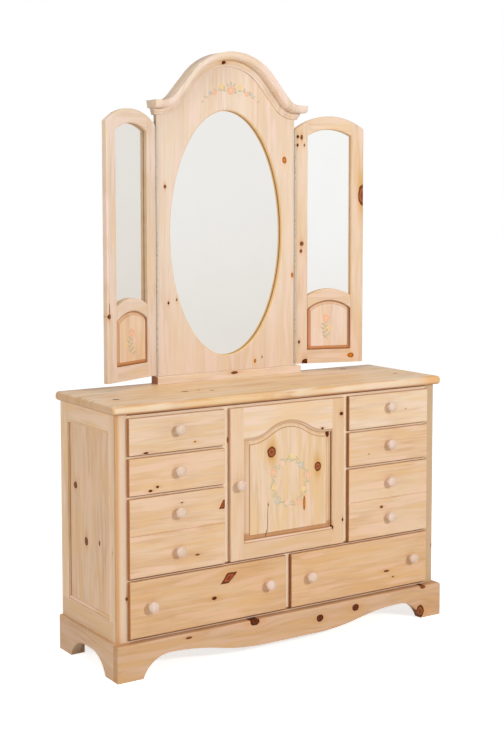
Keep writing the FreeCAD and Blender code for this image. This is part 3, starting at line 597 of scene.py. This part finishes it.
def dress_sides():
    def is_rail(y):
        return y.between(*SIDE_PANEL_Y)

    def tints_and_painted_shading(graph, along, across, into):
        """A darker bottom rail, a dark line at the head of the bevel round the side panel, and painted shade
        at its foot.
        """
        z = graph.xyz()[2]
        return [(z.rise(190, 182, 0.4), (206, 168, 130)), (into.line(0.4, 1.6, 0.4) * 0.5, (158, 112, 76)),
                (into.rise(6.6, 7.6) * 0.5, (160, 110, 72))]

    knots = [(-2675, -180, 18, 6, "red"), (-2583, -166, 5, 3, "dark")]
    dress(pine("pine_side_frame", (241, 211, 178), (212, 168, 122), on_side(is_rail), seed=14, warm=0.5,
               stains_and_painted_shading=tints_and_painted_shading, knots=knots), "side_frame_left", "side_frame_right")
    knots = [(-2411.3, 120, 11, 12, "red"), (-2588, 42, 14, 12, "red"), (-2575.6, -55, 8, 5, "red")]
    dress(pine("pine_side_panel", *SHADED, on_side(lambda y: 0.0), seed=15, warm=0.5, streak=1.3,
               knots=knots), "side_panels")


def dress_plinth():
    knots = [(-415, 106, 12, 4, "red"), (-152, 116, 18, 14, "dark"), (123, 80, 14, 12, "dark"),
             (281, 91, 14, 12, "dark"), (584, 26, 17, 22, "red"), (597, 116, 12, 6, "red")]
    dress(pine("pine_plinth_front", (214, 180, 145), (190, 140, 94), level(PLINTH_Y), seed=17,
               edge=(4, 8, 0.4), warm=0.5, knots=knots), "plinth_front")
    dress(pine("pine_plinth_side", (222, 189, 156), (198, 150, 106), on_side(lambda y: 1.0), seed=18),
          "plinth_sides")


def dress_inside():
    boxes = ["drawer_" + name + "_box" for name in FRONT_KNOTS]
    dress(pine("pine_raw", *RAW, level(0), seed=23, warm=0.4, boards=0.09, rough=0.62, wash=0.0),
          "plinth_back", "plinth_blocks", "decks", "partitions", "drawer_runners", *boxes)
    dress(pine("pine_supports", *RAW, upright(SUPPORT_Y), seed=24, rough=0.6, wash=0.0), "mirror_supports")


def dress_mirror():
    def oval_tints_and_painted_shading(graph, along, across, into):
        """A warm yellow edge inside the oval, the cut wood's colour lightened as painted light, and painted
        shade next to the glass.
        """
        inside = abs(graph.xyz()[0]) < mm(280)
        return [(into.rise(0.6, 2.5) * inside * 0.85, (242, 196, 124)),
                (into.rise(11, 14) * inside * 0.85, (104, 66, 36))]

    knots = [(1701, 252, 12, 9, "amber"), (1601, -263, 6, 5, "red"), (1186, -251, 5, 4, "dark"),
             (1196, -217, 5, 3, "red"), (1269, 288, 9, 5, "amber"), (953, 119, 7, 5, "amber"),
             (966, 151, 4, 2, "dark")]
    dress(pine("pine_mirror_board", *CHALKY, upright(MIRROR_Y), seed=31, boards=0.142, warm=0.2, wash=0.6,
               streak=0.6, stains_and_painted_shading=oval_tints_and_painted_shading, knots=knots), "mirror_board")
    dress(pine("pine_base_strip", *CHALKY, level(STRIP_Y), seed=33, edge=(0.5, 4.5, 0.3),
               ends=((178, 118, 78), 0.9), knots=[(12, 920, 14, 5, "red")]), "mirror_base")


# Of each wing: tones of its frame and its panel, tints of the panel's bevels near to the pin and far from
# it, the darker of the two, on the wing's right side, being painted shade, and knots.
Wing = namedtuple("Wing", "name frame panel near far knots")
WINGS = {
    -1: Wing("left", CHALKY, ((237, 209, 178), (212, 168, 130)), (176, 98, 50), (214, 164, 122),
             [(1159, 270, 8, 7, "dark"), (1185, 269, 20, 1.5, "dark")]),
    1: Wing("right", ((231, 207, 180), (206, 166, 130)), ((237, 215, 195), (208, 174, 146)), (206, 128, 82),
            (150, 84, 44),
            [(1790, 12, 6, 5, "dark"), (1758, 11, 6, 4, "dark"), (1787, 27, 9, 5, "red"),
             (1758, 38, 5, 3, "red"), (1570, 272, 38, 15, "eye"), (1387, 28, 8, 7, "red"),
             (1359, 25, 6, 5, "red"), (1013, 18, 6, 4, "dark"), (934, 44, 13, 13, "dark"),
             (956, 227.8, 9, 12, "amber"), (2227.8, 956, 12, 9, "amber")]),
}


def dress_wing(side):
    wing = WINGS[side]

    def frame_tints_and_painted_shade(graph, along, across, into):
        """Joints of the middle rail, and round the glass a warm edge and a dark line of painted shade."""
        out, up, _ = wing_place(graph, side)
        joint = graph.most(out.line(50.9, 51.9, 0.4), out.line(227.1, 228.1, 0.4)) * up.line(*WING_RAIL_Z, 1)
        opening = out.line(49, 230, 0.1) * up.between(*WING_GLASS_Z)
        return [(joint * (into < mm(0.3)) * 0.7, (150, 96, 56)),
                (into.line(0.6, 12.0, 0.5) * opening * 0.4, (238, 196, 134)),
                (into.rise(13.2, 15.2) * opening * 0.85, (120, 82, 44))]

    def panel_tints_and_painted_shade(graph, along, across, into):
        """Painted shade in the step round the field and at the foot of the bevel, and bevels in orange,
        darker towards the joint and at the bottom, with the bevel on the wing's right side darkened as
        painted shade.
        """
        bevel = into.rise(3.4, 4.0)
        return [(bevel * 0.5, (222, 170, 122)), (bevel * across.rise(66, 62) * 0.85, wing.near),
                (bevel * across.rise(213, 217) * 0.8, wing.far),
                (bevel * along.rise(1003, 995) * 0.85, (206, 138, 78)),
                (into.rise(6.0, 7.2) * 0.7, (140, 84, 44)), (into.line(2.3, 4.0, 0.3) * 0.45, (170, 116, 74))]

    body = "wing_" + wing.name
    dress(pine("pine_" + body, *wing.frame, wing_framed(side), seed=37 + side, edge=(0.5, 4.5, 0.12),
               stains_and_painted_shading=frame_tints_and_painted_shade, knots=wing.knots), body + "_frame")
    dress(pine("pine_wing_panel_" + wing.name, *wing.panel, wing_upright(side), seed=41 + side, warm=0.4,
               stains_and_painted_shading=panel_tints_and_painted_shade), body + "_panel")


def make_hardboard():
    graph = Surface("hardboard")
    place = graph.place()
    fleck = graph.noise(place, 900.0, 2.0, 0.7)
    cloud = graph.noise(place, 7.0)
    colour = graph.mix(cloud * 0.35, graph.mix(fleck, (112, 80, 52), (146, 110, 76)), (98, 68, 44))
    graph.set(Base_Color=colour, Roughness=fleck.span(0.3, 0.7, 0.6, 0.75))
    graph.bump(fleck, 0.3, 0.0003)
    return graph.material


def make_mirror_glass():
    graph = Surface("silvered_glass")
    place = graph.place()
    film = graph.noise(place, 9.0, 3.0, 0.6)
    dust = graph.noise(place, 210.0, 1.0).span(0.80, 0.84)
    colour = graph.mix(film.span(0.35, 0.75, 0.0, 0.25), (252, 252, 251), (247, 247, 245))
    graph.set(Base_Color=graph.mix(dust * 0.2, colour, (214, 212, 208)),
              Roughness=film.span(0.3, 0.8, 0.0, 0.02), Metallic=1.0)
    return graph.material


def make_nickel():
    graph = Surface("nickel_plate")
    x, y, z = graph.xyz()
    scratch = graph.noise(graph.vector(x * 30.0, y * 30.0, z), 60.0, 3.0, 0.6)
    tarnish = graph.noise(graph.place(), 85.0)
    graph.set(Base_Color=graph.mix(tarnish.span(0.45, 0.75, 0.0, 0.5), (222, 218, 212), (176, 166, 152)),
              Roughness=scratch.span(0.3, 0.7, 0.26, 0.42), Metallic=1.0)
    graph.bump(scratch, 0.1, 0.0001)
    return graph.material


NICKEL = make_nickel()


# ---- Pieces in finer detail ----
def add_piece(name, mesh, body, replaces=(), material=None, smooth=True):
    piece = bpy.data.objects.new(name, mesh)
    bpy.context.scene.collection.objects.link(piece)
    if material:
        mesh.materials.append(material)
    for polygon in mesh.polygons:
        polygon.use_smooth = smooth
    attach(piece, body)
    if replaces:
        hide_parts(*replaces)


def finish_mesh(name, bm, angle=35):
    """Mesh with outward normals, and sharp edges where faces meet at more than an angle."""
    bmesh.ops.remove_doubles(bm, verts=bm.verts, dist=1e-7)
    bmesh.ops.recalc_face_normals(bm, faces=bm.faces)
    for edge in bm.edges:
        edge.smooth = len(edge.link_faces) == 2 and edge.calc_face_angle(0) < math.radians(angle)
    mesh = bpy.data.meshes.new(name)
    bm.to_mesh(mesh)
    bm.free()
    return mesh


def skin(bm, rings):
    """Faces between each ring of points and the next. A ring of one point is a tip."""
    for low, high in zip(rings, rings[1:]):
        for index, point in enumerate(low):
            after = (index + 1) % len(low)
            beyond = high if len(high) == 1 else (high[after], high[index])
            bm.faces.new((point, low[after], *beyond))


def polar(centre, angle, radius, stretch=1.0):
    """Point in a plane, at an angle and a distance from a centre."""
    return centre[0] + radius * math.cos(angle), centre[1] + radius * stretch * math.sin(angle)


def circle(radius, sides, centre=(0, 0)):
    return [polar(centre, math.tau * index / sides, radius) for index in range(sides)]


def rectangle(x0, x1, y0, y1):
    return [(x0, y0), (x1, y0), (x1, y1), (x0, y1)]


# Turned profile of a knob: (radius, height above the face).
KNOB_PROFILE = ((9.5, 0), (9.5, 0.9), (8.9, 2.0), (7.8, 4.4), (7.1, 7.2), (7.0, 9.4), (7.7, 11.6),
                (9.9, 13.7), (13.4, 15.4), (16.5, 17.0), (18.1, 18.7), (18.5, 20.3), (18.3, 22.0),
                (17.5, 23.9), (16.0, 26.0), (13.6, 28.4), (10.4, 30.3), (6.6, 31.5), (3.0, 31.95), (0, 32.0))
KNOB_SIZE = 37
KNOB_SIDES = 44


def turn_knob(bm, x, z):
    rings = []
    for radius, height in KNOB_PROFILE:
        outline = circle(radius, KNOB_SIDES) if radius else [(0, 0)]
        rings.append([bm.verts.new((x + mm(u), mm(FACE_Y - height), z + mm(v))) for u, v in outline])
    bm.faces.new(rings[0])
    skin(bm, rings)


def knob_centres(low, high):
    """Middles of the one or two knobs that a node's box holds along one axis."""
    half = mm(KNOB_SIZE) / 2
    return [low + half, high - half] if high - low > 4 * half else [(low + high) / 2]


def make_knobs():
    def coordinates(graph):
        x, y, z = graph.xyz()
        return y, x, z

    material = pine("turned_pine", (228, 206, 188), (198, 160, 132), coordinates, seed=51, warm=0.1,
                    pith=0.05, rough=0.42, wash=0.4, gloss=0.15)
    for node in sorted(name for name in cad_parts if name.endswith("_knob")):
        low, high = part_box(node)
        bm = bmesh.new()
        for x in knob_centres(low[0], high[0]):
            for z in knob_centres(low[2], high[2]):
                turn_knob(bm, x, z)
        name = "turned_" + node
        add_piece(name, finish_mesh(name, bm), node.removesuffix("_knob"), (node,), material)


# Piano hinges: short knuckles on a long pin.
PIANO_LOW = 935.7
PIANO_HIGH = 1813.7
PIANO_RADIUS = 3.0
PIANO_PIN_RADIUS = 1.4
PIANO_COUNT = 69
PIANO_GAP = 0.5
PIANO_LEAF = (0.7, 1.7)  # a leaf's faces, beside the pin's axis
PIANO_LEAF_END = 18


def prism(bm, corners, low, high, transform):
    """Upright prism on a closed outline in XY."""
    rings = []
    for z in (low, high):
        rings.append([bm.verts.new(transform @ Vector((mm(x), mm(y), mm(z)))) for x, y in corners])
    bm.faces.new(rings[0])
    bm.faces.new(rings[1])
    skin(bm, rings)


def piano_leaf(bm, first, transform):
    """Leaf beside the pin, with every second knuckle. A first of 0 is the leaf on the mirror board."""
    inner, outer = PIANO_LEAF
    faces = (inner, outer) if first else (-outer, -inner)
    prism(bm, rectangle(*faces, 3.4, PIANO_LEAF_END), PIANO_LOW, PIANO_HIGH, transform)
    pitch = (PIANO_HIGH - PIANO_LOW) / PIANO_COUNT
    for index in range(first, PIANO_COUNT, 2):
        low = PIANO_LOW + index * pitch + PIANO_GAP / 2
        high = low + pitch - PIANO_GAP
        prism(bm, circle(PIANO_RADIUS, 14), low, high, transform)
        prism(bm, rectangle(*faces, 1.5, 3.6), low, high, transform)
    if first == 0:
        prism(bm, circle(PIANO_PIN_RADIUS, 10), PIANO_LOW, PIANO_HIGH, transform)


def make_piano_hinges():
    fixed = bmesh.new()
    for side, wing in WINGS.items():
        flip = Matrix.Scale(side, 4, (1, 0, 0))
        place = Matrix.Translation((side * mm(PIN_X), mm(PIN_Y), 0))
        piano_leaf(fixed, 0, place @ flip)
        moving = bmesh.new()
        piano_leaf(moving, 1, place @ Matrix.Rotation(-side * math.radians(WING_ANGLE[side]), 4, "Z") @ flip)
        name = "piano_hinge_" + wing.name
        body = "wing_" + wing.name
        add_piece(name, finish_mesh(name, moving), body, (body + "_hinge",), NICKEL)
    add_piece("piano_hinges_fixed", finish_mesh("piano_hinges_fixed", fixed), "cabinet",
              ("mirror_hinges",), NICKEL)


# ---- Crown mouldings, swept along the arched line ----
CROWN_SPRING_X = 292.0
CROWN_SPRING_Z = 1902.5
CREST_RADIUS = 230.0
CREST_STEPS = 36
FOOT_RADIUS = 65.0
FOOT_STEPS = 16
FLANK_ANGLE = 49.5
RETURN_SCALE = 0.45  # the profile's depth on the end returns, as a share of its depth in front
MOULDING_ANGLE = 24
CAP_TIP = 325.5
BED_TIP = 312.2
MOULDING_BACK = 20  # how far the mouldings go behind the mirror board's face, past its edges
GRAIN_CENTRE_Z = 1870
GRAIN_RADIUS = 280


def bonnet(tip):
    """Right half of the arched line, from its crest to a level tip: points with inward normals, in XZ."""
    turn = math.radians(FLANK_ANGLE)
    radii = CREST_RADIUS + FOOT_RADIUS
    flank = (CROWN_SPRING_X - radii * math.sin(turn)) / math.cos(turn)
    crest_z = CROWN_SPRING_Z + radii * (1 - math.cos(turn)) + flank * math.sin(turn)
    found = []

    def follow(x, z, radius, angles):
        """An arc round a centre. The radius is negative where the arc is hollow."""
        for angle in angles:
            sine, cosine = math.sin(angle), math.cos(angle)
            found.append(((x + radius * sine, z + radius * cosine), (-sine, -cosine)))

    crest_angles = [turn * step / CREST_STEPS for step in range(CREST_STEPS + 1)]
    foot_angles = [turn * (1 - step / FOOT_STEPS) for step in range(FOOT_STEPS + 1)]
    follow(0, crest_z - CREST_RADIUS, CREST_RADIUS, crest_angles)
    follow(CROWN_SPRING_X, CROWN_SPRING_Z + FOOT_RADIUS, -FOOT_RADIUS, foot_angles)
    for x in (MIRROR_HALF, MIRROR_HALF + 0.1, tip):
        found.append(((x, CROWN_SPRING_Z), (0.0, -1.0)))
    return found


def moulding(name, profile, tip, reach_back):
    """Moulding whose profile is a list of (drop inside the line, projection in front of the board).

    The ends return along the same profile, scaled to the overhang at the side. reach_back is how far
    behind the board's face the moulding goes where the board is.
    """
    front = max(projection for _, projection in profile)
    right = bonnet(tip)
    points = [((-x, z), (-nx, nz)) for (x, z), (nx, nz) in reversed(right[1:])] + right
    bm = bmesh.new()
    sections = []
    for number, ((x, z), (nx, nz)) in enumerate(points):
        is_end = number in (0, len(points) - 1)
        back = MOULDING_BACK if abs(x) > MIRROR_HALF else reach_back
        outline = [(*point, MIRROR_Y - point[1]) for point in profile]
        outline += [(*point, MIRROR_Y + back) for point in (profile[-1], profile[0])]
        section = []
        for drop, projection, y in outline:
            inset = math.copysign((front - projection) * RETURN_SCALE, x) if is_end else 0.0
            section.append(bm.verts.new((mm(x + nx * drop - inset), mm(y), mm(z + nz * drop))))
        sections.append(section)
    skin(bm, sections)
    bm.faces.new(sections[0])
    bm.faces.new(sections[-1])
    return finish_mesh(name, bm, MOULDING_ANGLE)


def arc_points(centre, radius, start, end, steps):
    """Points on an arc of a profile, at angles that run from the drop axis to the projection axis."""
    angles = [math.radians(start + (end - start) * step / steps) for step in range(steps + 1)]
    return [polar(centre, angle, radius) for angle in angles]


def make_crown_step(name, seed, profile, tip, reach_back, tints_and_painted_shading, knots=()):
    def coordinates(graph):
        """Grain that follows the arch: the bent moulding is sawn from boards laid along it."""
        x, y, z = graph.xyz()
        up = z - mm(GRAIN_CENTRE_Z)
        return graph.math("ARCTAN2", x, up) * mm(GRAIN_RADIUS), graph.length(x, up), y - mm(CROWN_Y)

    mesh = moulding(name + "_moulding", profile, tip, reach_back)
    # The light tint on the end faces is painted light on the returns, which lie in the cap's shadow.
    material = pine("pine_" + name, *CHALKY, coordinates, seed=seed, warm=0.45, wash=0.35, streak=1.3,
                    stains_and_painted_shading=tints_and_painted_shading, knots=knots, ends=((252, 230, 204), 0.8))
    add_piece(name + "_moulding", mesh, "cabinet", (name,), material)


def make_crown():
    def cap_painted_shade(graph, along, across, into):
        # Darker wood from 30 mm behind the cap's face: painted shade on its underside next to the bed.
        return [(into.rise(30, 33, 0.5), (176, 128, 88))]

    def bed_painted_shade(graph, along, across, into):
        # Dark brown at the bed's foot, against the mirror board: painted shade in that crease.
        return [(into.rise(45.5, 47.5, 0.85), (128, 82, 50))]

    cap = [(0, 47.4), (1.2, 48.6), (15.5, 48.6), (16.3, 47.6), (17.4, 47.2),
           *arc_points((17.4, 38.4), 8.8, 90, 8, 7), (27.0, 39.4)]
    make_crown_step("crown_cap", 61, cap, CAP_TIP, MOULDING_BACK, cap_painted_shade)
    bed = [(27.0, 15.6), (31.0, 15.6), (32.0, 14.4), *arc_points((32.0, 3.4), 11.0, 90, 30, 5),
           (44.6, 6.6), (46.4, 5.2), (48.2, 4.8), (49.6, 3.6), (50.0, 0.6)]
    make_crown_step("crown_bed", 63, bed, BED_TIP, 0, bed_painted_shade, [(-38, 179, 13, 6, "dark")])


# ---- Painted sprays: five-petalled blossoms and leaves ----
PAINTS = {"coral": (236, 170, 138), "yellow": (238, 204, 128), "pink": (238, 196, 182),
          "blue": (178, 186, 190), "green": (172, 174, 132), "brown": (176, 140, 104)}
PETALS = 5
BLADE_STEPS = 8
STEM_LIFT = 0.05
LEAF_LIFT = 0.09
PETAL_LIFT = 0.14
HEART_LIFT = 0.24


def make_paint(name, colour, wood):
    """Thin, worn paint through which the wood shows."""
    graph = Surface("paint_" + name)
    place = graph.place()
    worn = graph.noise(place, 210.0, 3.0, 0.65)
    shade = graph.noise(place, 90.0, 1.0)
    full = graph.mix(shade.span(0.35, 0.65), colour, tinted(colour, 1.1, 1.08, 1.05))
    graph.set(Base_Color=graph.mix(worn.span(0.42, 0.66, 0.18, 0.78), full, wood),
              Roughness=worn.span(0.3, 0.7, 0.5, 0.62))
    graph.bump(worn, 0.1, 0.0001)
    return graph.material


class Spray:
    """Flat painted shapes on one face. place(u, v, lift) turns millimetres on the face into a point."""

    def __init__(self, place):
        self.bm = bmesh.new()
        self.place = place

    def shape(self, outline, lift, paint):
        face = self.bm.faces.new([self.bm.verts.new(self.place(u, v, lift)) for u, v in outline])
        face.material_index = list(PAINTS).index(paint)

    def blade(self, base, angle, length, width, lift=LEAF_LIFT, paint="green", blunt=1.0):
        """Leaf or petal that grows from its base. A blunt under 1 rounds its tip."""
        u, v = base
        cosine, sine = math.cos(angle), math.sin(angle)
        edge = []
        for step in range(1, BLADE_STEPS):
            share = step / BLADE_STEPS
            edge.append((share * length, width / 2 * math.sin(math.pi * share ** (1 / blunt)) ** 0.8))
        outline = [(0, 0), *edge, (length, 0), *((along, -half) for along, half in reversed(edge))]
        self.shape([(u + cosine * along - sine * half, v + sine * along + cosine * half)
                    for along, half in outline], lift, paint)

    def blossom(self, centre, radius, paint, turn=0.0, heart="yellow"):
        for index in range(PETALS):
            angle = turn + math.tau * index / PETALS
            self.blade(centre, angle, radius, radius * 0.86, PETAL_LIFT + 0.01 * index, paint, 0.6)
        self.shape(circle(radius * 0.24, 10, centre), HEART_LIFT, heart)

    def stem(self, points, width):
        for (u0, v0), (u1, v1) in zip(points, points[1:]):
            length = math.hypot(u1 - u0, v1 - v0)
            du, dv = (v0 - v1) / length * width / 2, (u1 - u0) / length * width / 2
            self.shape([(u0 + du, v0 + dv), (u0 - du, v0 - dv), (u1 - du, v1 - dv), (u1 + du, v1 + dv)],
                       STEM_LIFT, "brown")

    def finish(self, name, body, wood):
        mesh = bpy.data.meshes.new(name)
        bmesh.ops.recalc_face_normals(self.bm, faces=self.bm.faces)
        self.bm.to_mesh(mesh)
        self.bm.free()
        for paint, colour in PAINTS.items():
            mesh.materials.append(make_paint(name + "_" + paint, colour, wood))
        add_piece(name, mesh, body, smooth=False)


def on_face(face_y):
    return lambda u, v, lift: Vector((mm(u), mm(face_y - lift), mm(v)))


def on_wing(side):
    """Field of a wing's raised panel."""
    turn = Matrix.Rotation(-side * math.radians(WING_ANGLE[side]), 3, "Z")
    pin = Vector((side * mm(PIN_X), mm(PIN_Y), 0))
    return lambda u, v, lift: pin + turn @ Vector((side * mm(u), mm(PIN_LEAD + FIELD_SETBACK - lift), mm(v)))


def paint_crown():
    """Garland under the arch: one blossom in the middle and a trail to each side."""
    spray = Spray(on_face(MIRROR_Y))
    middle = (15.0, 1950)
    reach = 118
    steps = 12
    for side in (-1, 1):
        trail = []
        for step in range(steps + 1):
            share = step / steps
            trail.append((middle[0] + side * reach * share,
                          1934 + 26 * math.sin(math.pi * share ** 0.8) - 24 * share))
        spray.stem(trail, 1.1)
        for index, point in enumerate(trail[1:]):
            lean = math.radians(90 - side * (34 + 5 * index))
            spray.blade(point, lean + (0.9 if index % 2 else -1.0), 17 - index * 0.5, 6.0)
        for step, rise, radius, paint in ((4, 12, 12, "yellow"), (7, -4, 11, "coral"), (9, 8, 7.5, "blue"),
                                          (11, -3, 6, "pink")):
            u, v = trail[step]
            spray.blossom((u, v + rise), radius, paint, 0.4 * step)
    spray.blossom(middle, 17, "coral", 0.3)
    for angle in (55, 90, 125):
        tip = math.radians(angle)
        spray.blade(polar(middle, tip, 14), tip, 20, 7, LEAF_LIFT - 0.01)
    spray.finish("crown_garland", "cabinet", (232, 209, 182))


def paint_door():
    """Ring of small blossoms and leaves on the door's panel."""
    spray = Spray(on_face(FACE_Y + FIELD_SETBACK))
    count = 30

    def ring(step, radius):
        return polar((4.0, 580.0), math.tau * step / count, radius, 1.12)

    spray.stem([ring(step, 72 + 3 * math.sin(step * 1.7)) for step in range(count + 1)], 1.3)
    for step in range(count):
        outwards = math.tau * step / count + (1.1 if step % 2 else 2.3)
        spray.blade(ring(step, 73), outwards, 20, 6.5)
        spray.blade(ring(step + 0.5, 71), outwards + 2.4, 15, 5.5, LEAF_LIFT + 0.01)
    order = ("coral", "blue", "yellow", "pink", "coral", "yellow", "blue", "pink", "coral", "yellow")
    for index, paint in enumerate(order):
        radius = 15 if paint == "coral" else 11
        spray.blossom(ring(index * 3 + 0.8, 72 + 6 * (-1) ** index), radius, paint, 0.5 * index)
    spray.finish("door_wreath", "door", (232, 206, 172))


def paint_wings():
    """Sprig of three blossoms on each wing's panel."""
    for side, low in ((-1, 1008.0), (1, 1016.0)):
        spray = Spray(on_wing(side))
        stalk = [(136 - side * 16 * math.sin(step / 10 * 2.6), low + 82 * step / 10) for step in range(11)]
        spray.stem(stalk, 1.2)
        for index, point in enumerate(stalk[1:9]):
            spray.blade(point, math.radians(38 if index % 2 else 142), 23 - index, 8)
        for step, du, dv, radius, paint, turn, heart in (
                (10, 0, 4, 17, "coral", 0.2, "yellow"), (7, -22, 2, 12, "pink", 0.9, "yellow"),
                (5, 23, 6, 11, "yellow", 1.4, "coral")):
            u, v = stalk[step]
            spray.blossom((u + du, v + dv), radius, paint, turn, heart)
        name = WINGS[side].name
        spray.finish("wing_sprig_" + name, "wing_" + name, (234, 208, 180))


# ---- Floor, world and lamps ----
LAMP_COLOUR = (1.0, 0.993, 1.0)
WHITE = (1, 1, 1, 1)
MIRROR_MIDDLE = (0, mm(MIRROR_Y), 1.43)
FLOOR_HALF = 30
FLOOR_Z = -0.0004


def studio_tint(graph, sideways, upwards):
    """Colour of the studio in the mirrors, from the direction looked in: darker to the right and below."""
    far_side = sideways.span(0.0, 1.0, kind="LINEAR")
    above = graph.mix(far_side, (250, 250, 250), (231, 227, 222))
    below = graph.mix(far_side, (239, 238, 235), (224, 217, 207))
    return graph.mix(upwards.span(-0.16, 0.03), below, above)


def make_floor():
    """White floor, seen in the mirrors in the studio's own colour."""
    bm = bmesh.new()
    corners = rectangle(-FLOOR_HALF, FLOOR_HALF, -FLOOR_HALF, FLOOR_HALF)
    bm.faces.new([bm.verts.new((x, y, FLOOR_Z)) for x, y in corners])
    mesh = finish_mesh("floor", bm)
    graph = Surface("studio_floor")
    mottle = graph.noise(graph.place(), 3.0)
    graph.set(Base_Color=graph.mix(mottle, (244, 244, 243), (248, 248, 247)), Roughness=0.9,
              Specular_IOR_Level=0.0)
    seen = graph.glow("ShaderNodeEmission", WHITE, graph.ray("Is Camera Ray") * 0.74)
    both = graph.value("ShaderNodeAddShader", enumerate((Value(graph, graph.shader.outputs[0]), seen)))
    from_mirror = graph.value("ShaderNodeVectorMath", enumerate((graph.place(), MIRROR_MIDDLE)),
                              operation="SUBTRACT")
    direction = graph.value("ShaderNodeVectorMath", [(0, from_mirror)], operation="NORMALIZE")
    sideways, _, upwards = graph.split(direction)
    mirrored = graph.glow("ShaderNodeEmission", studio_tint(graph, sideways, upwards), 1.0)
    shown = graph.choose(graph.ray("Is Glossy Ray"), both, mirrored)
    graph.feed(graph.tree.nodes["Material Output"].inputs["Surface"], shown)
    mesh.materials.append(graph.material)
    floor = bpy.data.objects.new("floor", mesh)
    bpy.context.scene.collection.objects.link(floor)


def make_world():
    """Soft light, brighter overhead, with a white backdrop for what looks at it."""
    world = bpy.data.worlds.new("studio")
    bpy.context.scene.world = world
    world.use_nodes = True
    world.node_tree.nodes.clear()
    graph = Graph(world.node_tree)
    x, _, z = graph.split(graph.value("ShaderNodeTexCoord", output="Generated"))
    overhead = z.span(0.0, 1.0, 0.15, 0.4, kind="LINEAR")
    lighting = graph.glow("ShaderNodeBackground", (*LAMP_COLOUR, 1), overhead)
    reflected = graph.glow("ShaderNodeBackground", studio_tint(graph, x, z), 1.0)
    white = graph.glow("ShaderNodeBackground", WHITE, 1.0)
    seen = graph.most(graph.ray("Is Camera Ray"), graph.ray("Is Transmission Ray"))
    shown = graph.choose(seen, graph.choose(graph.ray("Is Glossy Ray"), lighting, reflected), white)
    graph.node("ShaderNodeOutputWorld", [("Surface", shown)])


def make_lamp(name, place, target, size, power):
    data = bpy.data.lights.new(name, "AREA")
    data.size = size
    data.energy = power
    data.color = LAMP_COLOUR
    lamp = bpy.data.objects.new(name, data)
    bpy.context.scene.collection.objects.link(lamp)
    lamp.location = place
    lamp.rotation_euler = (Vector(target) - Vector(place)).to_track_quat("-Z", "Y").to_euler()
    lamp.visible_glossy = False
    lamp.visible_camera = False


dress_fronts()
dress_top()
dress_face_frame()
dress_door()
dress_sides()
dress_plinth()
dress_inside()
dress_mirror()
for wing_side in WINGS:
    dress_wing(wing_side)
dress(make_hardboard(), "back_panel", "mirror_backer", "wing_left_backer", "wing_right_backer")
dress(make_mirror_glass(), "mirror_glass", "wing_left_glass", "wing_right_glass")
dress(NICKEL, "door_hinge_fixed", "door_hinge_moving", "mirror_hinges", "wing_left_hinge", "wing_right_hinge")
make_knobs()
make_piano_hinges()
make_crown()
paint_crown()
paint_door()
paint_wings()
make_floor()
make_world()
make_lamp("key", (1.6, -5.9, 3.0), (0, 0, 1.0), 0.5, 186)
make_lamp("fill", (-5.2, -1.5, 2.2), (0, 0, 1.1), 2.4, 90)
make_lamp("overhead", (-0.6, -1.2, 5.0), (0, 0, 1.0), 3.0, 48)
